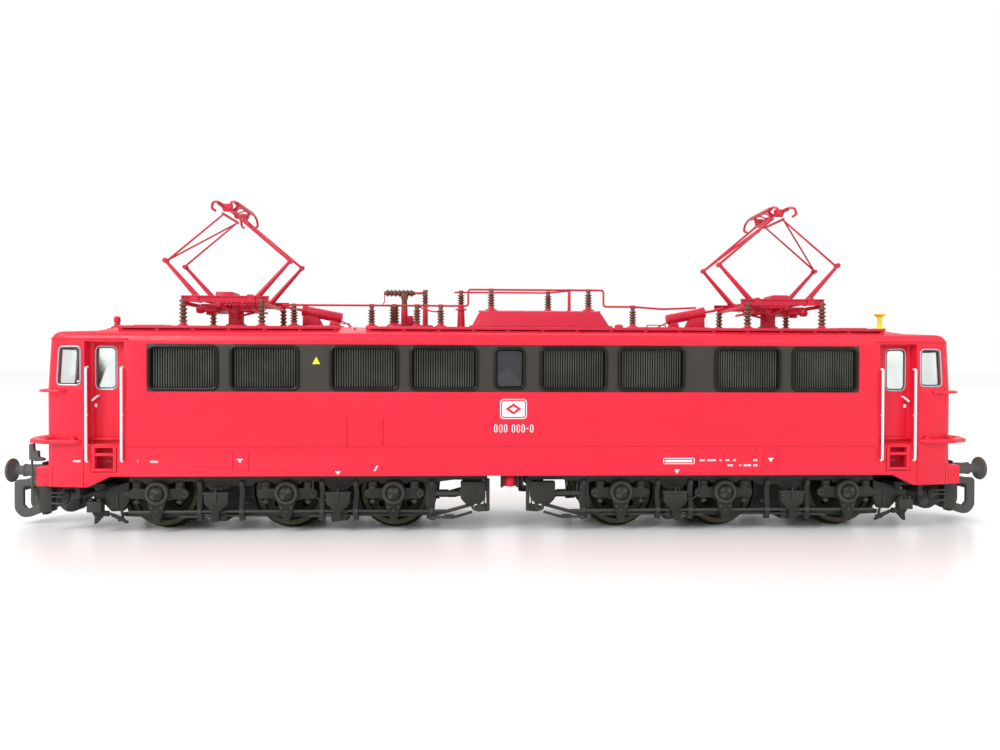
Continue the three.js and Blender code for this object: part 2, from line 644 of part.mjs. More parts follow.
// ---- Pantographs, modelled at the right-hand end; "outer" is the half towards the cab ----
const KNEE_X = PANTO_BASE_HALF + LOWER_ARM * Math.cos(LOWER_ANGLE);
const UPPER_ANGLE = Math.acos((KNEE_X - PANTO_TOP_HALF) / UPPER_ARM);
const KNEE_Z = PANTO_PIVOT_Z + LOWER_ARM * Math.sin(LOWER_ANGLE);
const TOP_Z = KNEE_Z + UPPER_ARM * Math.sin(UPPER_ANGLE);

function pantographBase() {
  const rails = both((side) => box(around(PANTO_X, 6.7), around(side * 7, 0.35), [35.9, 36.9]));
  const crossRails = both((end) => box(around(PANTO_X + end * 6, 0.3), around(0, 7.2), [35.4, 36]));
  const foot = (end, side) => [PANTO_X + end * INSULATOR_FOOT, side * INSULATOR_Y, ROOF_Z + GAP];
  const feet = both((end) => both((side) => insulator(foot(end, side), 4.3)));
  const pedestal = rod([PANTO_X, 0, DECK], [PANTO_X, 0, 35.9], 1.2, 1.2, 10);
  const deck = box(around(PANTO_X, 6.1), around(0, 1), [35.3, 35.9]);
  const springBox = box([PANTO_X + 0.4, PANTO_X + 3], around(0, 2.2), [35.8, 38]);
  return join(rails, crossRails, feet.flat(), pedestal, deck, springBox);
}

function lowerArms(end) {
  const foot = PANTO_X + end * PANTO_BASE_HALF;
  const knee = PANTO_X + end * KNEE_X;
  return join(
    rod([foot, -6.5, PANTO_PIVOT_Z], [foot, 6.5, PANTO_PIVOT_Z], 0.35),
    both((side) => [
      rod([foot, side * 4.8, PANTO_PIVOT_Z], [knee, side * 4.6, KNEE_Z], 0.5, 0.34),
      rod([knee, side * 4.25, KNEE_Z], [knee, side * 4.95, KNEE_Z], 0.45, 0.45, 6),
    ]).flat(),
  );
}

function upperArms(end) {
  const knee = PANTO_X + end * KNEE_X;
  const top = PANTO_X + end * PANTO_TOP_HALF;
  const braceFoot = [knee - end * 0.5, end * 3.9, KNEE_Z + 0.35];
  const braceTop = [top + end * 0.5, -end * 3.6, TOP_Z - 0.4];
  const brace = rod(braceFoot, braceTop, 0.2, 0.2, 4);
  return join(
    rod([top, -4.2, TOP_Z], [top, 4.2, TOP_Z], 0.25),
    both((side) => [
      rod([knee, side * 3.9, KNEE_Z], [top, side * 3.8, TOP_Z], 0.26, 0.22, 4),
      rod([knee, side * 3.65, KNEE_Z], [knee, side * 4.15, KNEE_Z], 0.4, 0.4, 6),
    ]).flat(),
    brace,
  );
}

const STRIP_Z = 52.2;
const STRIP_X = 1.4;
function collectorHead() {
  const stripZ = [STRIP_Z - 0.3, STRIP_Z];
  const strips = both((s) => box(around(PANTO_X + s * STRIP_X, 0.3), around(0, 4.7), stripZ));
  const horns = both((s) => both((side) => {
    const x = PANTO_X + s * STRIP_X;
    const path = [
      [x, side * 4.5, STRIP_Z - 0.2],
      [x, side * 7.1, STRIP_Z - 0.6],
      [x, side * 8.1, STRIP_Z - 2],
    ];
    return wire(path, 0.22);
  }));
  const yokeZ = [TOP_Z + 0.5, STRIP_Z - 0.1];
  const yokes = both((side) => box(around(PANTO_X, 1.5), around(side * 3.2, 0.25), yokeZ));
  const tie = box(around(PANTO_X, 0.25), around(0, 3.3), [TOP_Z + 0.6, TOP_Z + 1.1]);
  return join(strips, horns.flat(), yokes, tie);
}

// ---- Assembly ----
piece("body_shell", bodyShell(), RED);
piece("chassis_frame", chassisFrame(), ZINC);
piece("louvre_panel_near", louvrePanel(-1), BAND_GREY);
piece("louvre_panel_far", louvrePanel(1), BAND_GREY);
pieceAtBothEnds("cab_glazing", cabGlazing(), CLEAR);
piece("circuit_board", box(around(0, 30), around(0, 9.4), [26.6, 27.6]), BOARD_GREEN);
piece("motor", motor(), BRIGHT_STEEL);
piece("motor_shaft", motorShaft(), BRASS);
pieceAtBothEnds("cardan_shaft", cardanShaft(), BLACK_PLASTIC);
pieceAtBothEnds("worm", worm(), BRASS);
pieceAtBothEnds("gearbox", gearbox(), BLACK_PLASTIC);
pieceAtBothEnds("bogie_frame", bogieFrame(), FRAME_GREY);
AXLE_X.forEach((x, i) => {
  pieceAtBothEnds(`axle_${i + 1}`, axle(x), BRIGHT_STEEL);
  pieceAtBothEnds(`wheel_${i + 1}_near`, wheel(x, -1), WHEEL_STEEL);
  pieceAtBothEnds(`wheel_${i + 1}_far`, wheel(x, 1), WHEEL_STEEL);
});
pieceAtBothEnds("buffer_near", buffer(-1), BLACK_PLASTIC);
pieceAtBothEnds("buffer_far", buffer(1), BLACK_PLASTIC);
pieceAtBothEnds("coupling", coupling(), BLACK_PLASTIC);
piece("roof_hood", roofHood(), ROOF_RED);
piece("roof_busbar", busbar(), ROOF_RED);
piece("circuit_breaker", circuitBreaker(), ROOF_RED);
pieceAtBothEnds("lowering_cylinder", loweringCylinder(), RED);
piece("horn_left", horn(-64.4), RED);
piece("horn_right", horn(64.4), YELLOW);
pieceAtBothEnds("pantograph_base", pantographBase(), ROOF_RED);
pieceAtBothEnds("pantograph_lower_outer", lowerArms(1), ROOF_RED);
pieceAtBothEnds("pantograph_lower_inner", lowerArms(-1), ROOF_RED);
pieceAtBothEnds("pantograph_upper_outer", upperArms(1), ROOF_RED);
pieceAtBothEnds("pantograph_upper_inner", upperArms(-1), ROOF_RED);
pieceAtBothEnds("collector_head", collectorHead(), ROOF_RED);

export default locomotive;
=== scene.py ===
"""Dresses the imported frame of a 1:120 model electric locomotive, and sets its stage."""

import math

import bpy
from mathutils import Matrix, Vector


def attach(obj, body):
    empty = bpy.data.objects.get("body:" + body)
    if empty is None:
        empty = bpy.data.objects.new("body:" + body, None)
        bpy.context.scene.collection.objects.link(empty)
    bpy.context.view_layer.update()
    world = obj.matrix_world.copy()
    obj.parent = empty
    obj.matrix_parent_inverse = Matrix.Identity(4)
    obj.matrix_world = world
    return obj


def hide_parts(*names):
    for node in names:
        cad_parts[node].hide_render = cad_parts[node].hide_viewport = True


bl_info = {
    "name": "Model Electric Locomotive",
    "version": (1, 0, 0),
    "blender": (4, 5, 0),
    "location": "View3D > Sidebar > Locomotive",
    "description": "Builds the visible parts of a 1:120 electric locomotive around its packed frame",
    "category": "Object",
}

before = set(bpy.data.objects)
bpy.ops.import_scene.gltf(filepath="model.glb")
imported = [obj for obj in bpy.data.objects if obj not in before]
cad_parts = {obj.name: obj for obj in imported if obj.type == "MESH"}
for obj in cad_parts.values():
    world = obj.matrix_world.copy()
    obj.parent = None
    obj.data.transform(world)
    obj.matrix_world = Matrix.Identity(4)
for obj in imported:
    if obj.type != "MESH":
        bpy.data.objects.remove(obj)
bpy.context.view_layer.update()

MM = 0.001
ENDS = {"right": 1, "left": -1}
SIDES = {"near": -1, "far": 1}
BODY = "locomotive_body"

# Millimetres, in the frame's axes: +X to the right-hand end, -Y the near side, +Z up.
TAPER_X = 63.8  # the cab sides narrow from here to the corner
CORNER = (69.9, 11.6)
PROW_X = 70.9
SILL_Z = 22.0  # the cab front leans back above this
LEAN = 0.065
PILOT_Z = 7.5
DOOR_X = (57.95, 63.8)
DOOR_Z = (13.7, 29.5)
DOOR_DEPTH = 1.9
DOOR_WINDOW = ((61.4, 25.5), (3.2, 6.6), 0.8)
# Height, and how far the cab front is drawn back at it.
CROWN_CURVE = ((29.6, 0.0), (30.2, 0.15), (30.6, 0.45), (30.85, 0.9), (31.0, 1.6))
CROWN_BACK = 2.4
HANDRAIL_X = (58.22, 63.42)
EMBLEM = (0.7, 19.36)
HEADLAMP = (69.9, 7.6, 12.4)
TOP_LAMP = (70.4, 0.0, 29.3)
BAND_MIDDLE = (0.12, 25.55)
FRONT_WINDOW = ((5.4, 25.6), (8.6, 5.9), 0.9)
LOUVRES = (9.94, 22.04, 37.08, 49.22)
WALKWAYS = ((-59.8, -26.3), (-22.1, 59.8))
AXLES = (54.0, 34.3, 17.8)
AXLE_Z = 6.1
HOPPERS = (26.3, 44.9)
PANTOGRAPH_X = 44.9
BASE_HALF = 4.4
TOP_HALF = 0.9
PIVOT_Z = 36.5
KNEE = (9.9, 42.716)
TOP_Z = 50.348
STRIP_Z = 52.2
DECK = 32.4
HORN_X = 64.4
CONDUCTOR_Y = -3.0
BREAKER_POSTS = (-17, -13.5)
COUPLING_PIVOT_X = 66.5
BUFFER = (71.72, 7.3, 9.45)

# The view: metres, radians and millimetres of a 36 mm sensor.
CAMERA_PLACE = (-0.0060130, -0.1331102, 0.0260980)
CAMERA_YAW_PITCH_ROLL = (-0.0383697, -0.0127146, 0.0028971)
CAMERA_LENS = 28.386
# Name, place, size and power of each lamp.
LAMPS = (
    ("key_light", (-0.38, -0.36, 0.34), 0.3, 2.6),
    ("fill_light", (0.40, -0.36, 0.24), 0.3, 0.4),
    ("back_light", (0.0, 0.45, 0.5), 0.5, 1.2),
)


# ---- Modelling helpers. Sizes come in millimetres; the meshes are in metres. ----
def only(*objects):
    """Selects these objects and nothing else, the first one active."""
    bpy.ops.object.select_all(action="DESELECT")
    for obj in objects:
        obj.select_set(True)
    if objects:
        bpy.context.view_layer.objects.active = objects[0]


def in_edit(obj, *steps):
    """Runs edit-mode steps on the whole of one mesh."""
    only(obj)
    bpy.ops.object.mode_set(mode="EDIT")
    for step in steps:
        bpy.ops.mesh.select_all(action="SELECT")
        step()
    bpy.ops.object.mode_set(mode="OBJECT")


def face_out():
    bpy.ops.mesh.normals_make_consistent(inside=False)


def settle(obj):
    """Puts the object's place into its mesh."""
    only(obj)
    bpy.ops.object.transform_apply(location=True, rotation=True, scale=True)
    return obj


def apply_modifier(obj, kind, **settings):
    only(obj)
    bpy.ops.object.modifier_add(type=kind)
    modifier = obj.modifiers[-1]
    for key, value in settings.items():
        setattr(modifier, key, value)
    bpy.ops.object.modifier_apply(modifier=modifier.name)
    return obj


def round_edges(obj, width, segments=2, angle=32):
    """Rounds every edge sharper than the angle."""
    return apply_modifier(
        obj, "BEVEL", width=width * MM, segments=segments, limit_method="ANGLE",
        angle_limit=math.radians(angle),
    )


def block(x, y, z, bevel=0.0, segments=2):
    """A cube stretched between two corners, its edges rounded."""
    spans = [sorted(span) for span in (x, y, z)]
    only()
    bpy.ops.mesh.primitive_cube_add(size=1, location=[(a + b) / 2 * MM for a, b in spans])
    obj = bpy.context.active_object
    obj.scale = [(b - a) * MM for a, b in spans]
    settle(obj)
    if bevel:
        in_edit(obj, lambda: bpy.ops.mesh.bevel(offset=bevel * MM, segments=segments, affect="EDGES"))
    return obj


def around(middle, half):
    return (middle - half, middle + half)


PUSH = {
    "x": lambda u, v, w: Vector((w, u, v)),
    "y": lambda u, v, w: Vector((u, w, v)),
    "z": lambda u, v, w: Vector((u, v, w)),
}


def extruded(points, axis, low, high, bevel=0.0):
    """A flat outline extruded along one axis. Axis x: points in Y and Z; y: in X and Z; z: in X and Y."""
    only()
    bpy.ops.mesh.primitive_circle_add(vertices=len(points), radius=MM, fill_type="NGON")
    obj = bpy.context.active_object
    for vertex, (u, v) in zip(obj.data.vertices, points):
        vertex.co = PUSH[axis](u, v, low) * MM
    step = PUSH[axis](0, 0, high - low) * MM
    in_edit(obj, lambda: bpy.ops.mesh.extrude_region_move(TRANSFORM_OT_translate={"value": step}), face_out)
    if bevel:
        round_edges(obj, bevel)
    return obj


def ring_of(points, closed=True):
    """A loop of bare edges through points, or a chain when it isn't closed."""
    only()
    bpy.ops.mesh.primitive_circle_add(vertices=len(points), radius=MM, fill_type="NOTHING")
    obj = bpy.context.active_object
    for vertex, point in zip(obj.data.vertices, points):
        vertex.co = Vector(point) * MM
    if not closed:
        last = len(points) - 1
        only(obj)
        bpy.ops.object.mode_set(mode="EDIT")
        bpy.ops.mesh.select_mode(type="EDGE")
        bpy.ops.mesh.select_all(action="DESELECT")
        bpy.ops.object.mode_set(mode="OBJECT")
        for edge in obj.data.edges:
            edge.select = set(edge.vertices) == {0, last}
        bpy.ops.object.mode_set(mode="EDIT")
        bpy.ops.mesh.delete(type="EDGE")
        bpy.ops.mesh.select_mode(type="VERT")
        bpy.ops.object.mode_set(mode="OBJECT")
    return obj


SPIN = {
    "x": (lambda r, h: (h, 0, r), (1, 0, 0)),
    "y": (lambda r, h: (r, h, 0), (0, 1, 0)),
    "z": (lambda r, h: (r, 0, h), (0, 0, 1)),
}


def turned(profile, axis, at, steps=24, flip=1):
    """A profile of [radius, height] spun about an axis through a point."""
    place, direction = SPIN[axis]
    obj = ring_of([Vector(at) + Vector(place(r, h * flip)) for r, h in profile])
    spin = dict(steps=steps, angle=2 * math.pi, center=Vector(at) * MM, axis=direction)
    in_edit(
        obj,
        lambda: bpy.ops.mesh.spin(**spin),
        lambda: bpy.ops.mesh.remove_doubles(threshold=1e-7),
        lambda: bpy.ops.mesh.dissolve_degenerate(threshold=1e-8),
        face_out,
    )
    return obj


def rod(start, end, radius, radius_end=None, sides=12):
    """A straight bar, tapered if it has a second radius."""
    a, b = Vector(start), Vector(end)
    only()
    bpy.ops.mesh.primitive_cone_add(
        vertices=sides, radius1=radius * MM, radius2=(radius if radius_end is None else radius_end) * MM,
        depth=(b - a).length * MM, location=(a + b) / 2 * MM,
        rotation=(b - a).to_track_quat("Z", "Y").to_euler(),
    )
    return settle(bpy.context.active_object)


def bent(points, reach, steps=5):
    """Points with each inner corner rounded off, starting `reach` before the corner."""
    out = [Vector(points[0])]
    for before, corner, after in zip(points, points[1:], points[2:]):
        before, corner, after = Vector(before), Vector(corner), Vector(after)
        r = min(reach, (before - corner).length * 0.45, (after - corner).length * 0.45)
        a = corner + (before - corner).normalized() * r
        b = corner + (after - corner).normalized() * r
        for i in range(steps + 1):
            t = i / steps
            out.append(a * (1 - t) ** 2 + corner * 2 * t * (1 - t) + b * t * t)
    return out + [Vector(points[-1])]


def wire(points, radius, closed=False, resolution=2):
    """A round wire along points."""
    if len(points) == 2:
        points = [points[0], (Vector(points[0]) + Vector(points[1])) / 2, points[1]]
    obj = ring_of(points, closed)
    only(obj)
    bpy.ops.object.convert(target="CURVE")
    obj.data.dimensions = "3D"
    obj.data.bevel_depth = radius * MM
    obj.data.bevel_resolution = resolution
    obj.data.use_fill_caps = True
    bpy.ops.object.convert(target="MESH")
    return obj


def rounded(middle, size, r, steps=4):
    """A rectangle with rounded corners, anticlockwise."""
    u, v = size[0] / 2 - r, size[1] / 2 - r
    out = []
    for quarter, (su, sv) in enumerate(((1, 1), (-1, 1), (-1, -1), (1, -1))):
        for i in range(steps + 1):
            turn = math.pi / 2 * (quarter + i / steps)
            out.append((middle[0] + su * u + r * math.cos(turn), middle[1] + sv * v + r * math.sin(turn)))
    return out


def joined(objects):
    objects = list(objects)
    if len(objects) > 1:
        only(*objects)
        bpy.ops.object.join()
    return objects[0]


def mirrored(obj, x=False, y=False):
    """Adds the mirror image across X = 0 and/or Y = 0."""
    return apply_modifier(obj, "MIRROR", use_axis=(x, y, False), use_mirror_merge=False)


def twin(obj, scale):
    """A mirrored copy with its own mesh."""
    only(obj)
    bpy.ops.object.duplicate()
    copy = bpy.context.active_object
    copy.scale = scale
    settle(copy)
    in_edit(copy, face_out)
    return copy


def in_row(obj, count, step):
    """A straight row of copies."""
    return apply_modifier(
        obj, "ARRAY", count=count, use_relative_offset=False, use_constant_offset=True,
        constant_offset_displace=Vector(step) * MM,
    )


def carve(obj, tool, operation="DIFFERENCE"):
    """Boolean with a tool that is used up."""
    apply_modifier(obj, "BOOLEAN", operation=operation, object=tool, solver="EXACT")
    bpy.data.objects.remove(tool)
    return obj


def painted(obj, material):
    obj.data.materials.clear()
    obj.data.materials.append(material)
    return obj


def finished(obj, name, body, finish=None, replaces=(), smooth=32):
    """Names a piece, gives it its finish, and hangs it on its body."""
    obj.name = name
    obj.data.name = name
    if finish:
        painted(obj, finish_named(finish))
    only(obj)
    bpy.ops.object.shade_smooth_by_angle(angle=math.radians(smooth))
    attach(obj, body)
    if replaces:
        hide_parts(*replaces)
    return obj


def at_both_ends(obj, name, body, finish=None, replaces=(), smooth=32):
    """Finishes a right-hand piece and its left-hand twin. Names hold {end}."""
    for end, scale in (("left", (-1, 1, 1)), ("right", None)):
        shape = twin(obj, scale) if scale else obj
        finished(
            shape, name.format(end=end), body.format(end=end), finish,
            [node.format(end=end) for node in replaces], smooth,
        )


# ---- Materials ----
def new_material(name):
    material = bpy.data.materials.get(name)
    if material:
        return material, None
    material = bpy.data.materials.new(name)
    material.use_nodes = True
    return material, material.node_tree


def link(tree, source, target):
    tree.links.new(source, target)


def node(tree, kind, **values):
    made = tree.nodes.new(kind)
    for key, value in values.items():
        if key in made.inputs:
            made.inputs[key].default_value = value
        else:
            setattr(made, key, value)
    return made


def noise(tree, coords, scale, detail=3.0):
    made = node(tree, "ShaderNodeTexNoise", Scale=scale, Detail=detail, Roughness=0.55)
    link(tree, coords, made.inputs["Vector"])
    return made.outputs["Fac"]


def ranged(tree, value, low, high, to_low, to_high):
    made = node(tree, "ShaderNodeMapRange")
    for i, number in ((1, low), (2, high), (3, to_low), (4, to_high)):
        made.inputs[i].default_value = number
    link(tree, value, made.inputs[0])
    return made.outputs[0]


def mixed(tree, factor, a, b):
    """Blends two colours, each an RGB value or a socket."""
    made = node(tree, "ShaderNodeMix", data_type="RGBA")
    link(tree, factor, made.inputs["Factor"])
    for key, colour in ((6, a), (7, b)):
        if isinstance(colour, bpy.types.NodeSocket):
            link(tree, colour, made.inputs[key])
        else:
            made.inputs[key].default_value = (*colour[:3], 1)
    return made.outputs[2]


def moulded(name, colour, roughness=0.4, shade=0.05, grain=0.06, specks=0.0, dust=None, painted_edge_highlight=0.0,
            metallic=0.0, coat=0.0,
            shine=0.35):
    """Plastic with soft clouding and fine grain, and if asked for specks, dust and a painted highlight
    along its sharp edges.
    """
    material, tree = new_material(name)
    if tree is None:
        return material
    shader = tree.nodes["Principled BSDF"]
    coords = node(tree, "ShaderNodeTexCoord").outputs["Object"]
    clouds = ranged(tree, noise(tree, coords, 160), 0.35, 0.65, 0, 1)
    dark = [c * (1 - shade) for c in colour[:3]]
    light = [min(1, c * (1 + shade) + shade * 0.01) for c in colour[:3]]
    base = mixed(tree, clouds, dark, light)
    if dust:
        normal = node(tree, "ShaderNodeSeparateXYZ")
        link(tree, node(tree, "ShaderNodeNewGeometry").outputs["Normal"], normal.inputs[0])
        upward = ranged(tree, normal.outputs["Z"], 0.1, 0.95, 0.06, 0.6)
        patchy = ranged(tree, noise(tree, coords, 900), 0.4, 0.7, 0.2, 1)
        amount = node(tree, "ShaderNodeMath", operation="MULTIPLY")
        link(tree, upward, amount.inputs[0])
        link(tree, patchy, amount.inputs[1])
        base = mixed(tree, amount.outputs[0], base, dust)
    # Painted highlight: sharp, convex edges are lightened towards a much brighter copy of the colour, up to
    # the given amount.
    if painted_edge_highlight:
        edge = ranged(tree, node(tree, "ShaderNodeNewGeometry").outputs["Pointiness"], 0.53, 0.62, 0, painted_edge_highlight)
        base = mixed(tree, edge, base, [min(1, c * 2.2 + 0.03) for c in colour[:3]])
    if specks:
        cells = node(tree, "ShaderNodeTexVoronoi", Scale=420.0)
        link(tree, coords, cells.inputs["Vector"])
        rare = node(tree, "ShaderNodeSeparateColor")
        link(tree, cells.outputs["Color"], rare.inputs[0])
        near = ranged(tree, cells.outputs["Distance"], 0.015, 0.035, 1, 0)
        chosen = ranged(tree, rare.outputs[0], 0.86, 0.87, 0, specks)
        amount = node(tree, "ShaderNodeMath", operation="MULTIPLY")
        link(tree, near, amount.inputs[0])
        link(tree, chosen, amount.inputs[1])
        base = mixed(tree, amount.outputs[0], base, (0.75, 0.72, 0.7))
    link(tree, base, shader.inputs["Base Color"])
    gloss = ranged(tree, noise(tree, coords, 420), 0.3, 0.7, roughness - 0.05, roughness + 0.06)
    link(tree, gloss, shader.inputs["Roughness"])
    shader.inputs["Metallic"].default_value = metallic
    shader.inputs["Coat Weight"].default_value = coat
    shader.inputs["Specular IOR Level"].default_value = shine
    bump = node(tree, "ShaderNodeBump", Strength=grain, Distance=0.00006)
    link(tree, noise(tree, coords, 5200, 2.0), bump.inputs["Height"])
    link(tree, bump.outputs[0], shader.inputs["Normal"])
    return material


def turned_metal(name, colour, roughness=0.3):
    """Bare metal with fine turning marks."""
    material, tree = new_material(name)
    if tree is None:
        return material
    shader = tree.nodes["Principled BSDF"]
    coords = node(tree, "ShaderNodeTexCoord").outputs["Object"]
    stretch = node(tree, "ShaderNodeMapping", Scale=(9000, 700, 9000))
    link(tree, coords, stretch.inputs["Vector"])
    marks = node(tree, "ShaderNodeTexNoise", Scale=1.0, Detail=2.0)
    link(tree, stretch.outputs[0], marks.inputs["Vector"])
    tint = mixed(tree, marks.outputs["Fac"], [c * 0.85 for c in colour[:3]],
                 [min(1, c * 1.1) for c in colour[:3]])
    link(tree, tint, shader.inputs["Base Color"])
    link(tree, ranged(tree, marks.outputs["Fac"], 0.3, 0.7, roughness - 0.06, roughness + 0.1),
         shader.inputs["Roughness"])
    shader.inputs["Metallic"].default_value = 1.0
    bump = node(tree, "ShaderNodeBump", Strength=0.08, Distance=0.00002)
    link(tree, marks.outputs["Fac"], bump.inputs["Height"])
    link(tree, bump.outputs[0], shader.inputs["Normal"])
    return material


def clear_plastic(name, colour, roughness=0.04):
    """Clear moulded glazing with a faint unevenness."""
    material, tree = new_material(name)
    if tree is None:
        return material
    shader = tree.nodes["Principled BSDF"]
    shader.inputs["Base Color"].default_value = (*colour[:3], 1)
    shader.inputs["Transmission Weight"].default_value = 1.0
    shader.inputs["IOR"].default_value = 1.25
    coords = node(tree, "ShaderNodeTexCoord").outputs["Object"]
    link(tree, ranged(tree, noise(tree, coords, 700), 0.3, 0.7, roughness, roughness + 0.05),
         shader.inputs["Roughness"])
    bump = node(tree, "ShaderNodeBump", Strength=0.05, Distance=0.00003)
    link(tree, noise(tree, coords, 350), bump.inputs["Height"])
    link(tree, bump.outputs[0], shader.inputs["Normal"])
    return material


def finish_named(key):
    """The finish of one family of parts, from the colours in the panel."""
    c = bpy.context.scene.locomotive_colours
    # In these finishes the edge amount passed to moulded paints a highlight along sharp edges.
    makers = {
        "body": lambda: moulded("red_body_paint", c.body, 0.36, 0.03, 0.05, specks=0.5),
        "roof": lambda: moulded("red_roof_paint", c.roof, 0.42, 0.05, 0.07),
        "band": lambda: moulded("dark_band_print", c.band, 0.42, 0.08, 0.08, specks=0.35),
        "louvre": lambda: moulded("black_louvre_plastic", c.louvre, 0.3, 0.1, 0.06, specks=0.9, painted_edge_highlight=0.3,
                                  shine=0.16),
        # Painted highlight: the slats are the grille's black made nine times lighter, standing in for light
        # catching their edges.
        "slat": lambda: moulded("grille_slat_plastic", [v * 9 for v in c.louvre],
                                0.35, 0.3, 0.06, specks=1.0, shine=0.25),
        "gear": lambda: moulded(
            "running_gear_plastic", c.gear, 0.48, 0.2, 0.14, dust=(0.03, 0.029, 0.022),
            painted_edge_highlight=0.8, shine=0.28,
        ),
        "black": lambda: moulded("black_plastic", c.black, 0.33, 0.12, 0.08, painted_edge_highlight=0.5, shine=0.3),
        "white": lambda: moulded("white_rail_paint", c.white, 0.4, 0.03, 0.04),
        "silver": lambda: moulded("silver_rim_paint", c.silver, 0.32, 0.06, 0.03, metallic=0.35),
        "insulator": lambda: moulded("brown_insulator_glaze", c.insulator, 0.3, 0.22, 0.05, painted_edge_highlight=0.6,
                                     coat=0.3),
        "yellow": lambda: moulded("yellow_horn_paint", c.yellow, 0.35, 0.05, 0.04),
        "wheel": lambda: moulded("dark_wheel_metal", c.wheel, 0.42, 0.15, 0.1, painted_edge_highlight=0.4, metallic=0.55),
        # Tread metal kept very dark, far below bare brass, so the rims read dark with only a thin bright
        # edge.
        "tread": lambda: turned_metal("weathered_tread_metal", (0.055, 0.052, 0.03), 0.42),
        "steel": lambda: turned_metal("turned_steel", (0.6, 0.6, 0.6)),
        "brass": lambda: turned_metal("turned_brass", (0.72, 0.53, 0.22)),
        "zinc": lambda: moulded("die_cast_zinc", (0.3, 0.3, 0.31), 0.5, 0.12, 0.3, metallic=0.8),
        "board": lambda: moulded("green_board_lacquer", (0.02, 0.15, 0.06), 0.35, 0.1, 0.1),
        "cab": lambda: moulded("grey_cab_plastic", (0.16, 0.16, 0.15), 0.55, 0.08, 0.1),
        "glass": lambda: clear_plastic("clear_glazing", (0.93, 0.96, 0.95)),
        "dark_glass": lambda: moulded("dark_window_plastic", (0.006, 0.009, 0.014),
                                      0.12, 0.3, 0.02, coat=0.6),
        "lens": lambda: clear_plastic("lamp_lens", (0.98, 0.98, 0.95), 0.02),
    }
    return makers[key]()


# ---- Settings ----
def length(name, description, default):
    return bpy.props.FloatProperty(name=name, description=description, default=default, unit="LENGTH",
                                   precision=5)


def colour(name, description, default):
    return bpy.props.FloatVectorProperty(
        name=name, description=description, default=default, subtype="COLOR", size=3, min=0.0, max=1.0,
    )


class LocomotiveSizes(bpy.types.PropertyGroup):
    half_width: length("Half width", "Middle of the body to its side wall", 0.0125)
    skirt_height: length("Skirt height", "Lower edge of the body between the doors", 0.0091)
    shoulder_height: length("Shoulder height", "Where the side wall turns into the roof", 0.0293)
    roof_height: length("Roof height", "Edge of the flat roof deck", 0.032)
    crown_height: length("Crown height", "Middle of the roof deck", 0.0323)
    wall: length("Wall", "Thickness of the body shell", 0.001)
    band_half_length: length("Band half length", "Half the length of the dark window band", 0.0546)
    louvre_width: length("Louvre width", "Width of each louvred grille over its frame", 0.0105)
    louvre_height: length("Louvre height", "Height of each louvred grille over its frame", 0.0069)
    slat_pitch: length("Slat pitch", "Distance between the slats of a grille", 0.00037)
    handrail_radius: length("Handrail radius", "Radius of the white handrails", 0.00019)
    insulator_radius: length("Insulator radius", "Outer radius of an insulator's sheds", 0.00064)
    shed_count: bpy.props.IntProperty(name="Sheds", description="Sheds on each insulator", default=5,
                                      min=3, max=9)
    tread_radius: length("Tread radius", "Rolling radius of the wheels", 0.0055)
    flange_radius: length("Flange radius", "Radius of the wheel flanges", 0.0061)


class LocomotiveColours(bpy.types.PropertyGroup):
    body: colour("Body", "Red of the body sides", (0.68, 0.009, 0.033))
    roof: colour("Roof", "Red of the roof and its equipment", (0.5, 0.009, 0.035))
    band: colour("Band", "Dark window band", (0.03, 0.025, 0.019))
    louvre: colour("Louvres", "Grilles in the band", (0.006, 0.006, 0.005))
    gear: colour("Running gear", "Bogies and frames", (0.009, 0.0095, 0.007))
    black: colour("Black parts", "Buffers and couplings", (0.005, 0.006, 0.006))
    white: colour("Rails", "Handrails and markings", (0.78, 0.75, 0.77))
    silver: colour("Rims", "Cab window rims", (0.42, 0.44, 0.47))
    insulator: colour("Insulators", "Brown glaze", (0.11, 0.036, 0.018))
    yellow: colour("Horn", "Yellow horn", (0.85, 0.68, 0.03))
    wheel: colour("Wheels", "Darkened wheel discs", (0.02, 0.019, 0.014))
    floor: colour("Floor", "Studio floor", (0.92, 0.93, 0.92))


def sizes():
    """The panel's lengths, in millimetres."""
    group = bpy.context.scene.locomotive_sizes
    values = {key: getattr(group, key)
              for key in group.bl_rna.properties.keys() if key not in ("rna_type", "name")}
    return type("Sizes", (), {k: v if isinstance(v, int) else v * 1000 for k, v in values.items()})


class LocomotiveOperator:
    """Shared by the operators that build pieces."""

    bl_options = {"REGISTER", "UNDO"}

    def execute(self, context):
        self.build()
        return {"FINISHED"}


# ---- Body ----
def plan(inset):
    """Plan of the body, with the cab's narrowing front and its rounded corners."""
    w = sizes().half_width - inset
    x, y = CORNER[0] - inset, CORNER[1] - inset
    front = [(TAPER_X, -w, 0), (x, -y, 0), (PROW_X - inset, 0, 0), (x, y, 0), (TAPER_X, w, 0)]
    right = [(p.x, p.y) for p in bent(front, 1.1, 3)]
    return right + [(-x, y) for x, y in reversed(right)]


def wall_y(x):
    """Outer side of the wall at a distance along the body."""
    s = sizes()
    past = max(0, abs(x) - TAPER_X)
    return s.half_width - past * (s.half_width - CORNER[1]) / (CORNER[0] - TAPER_X)


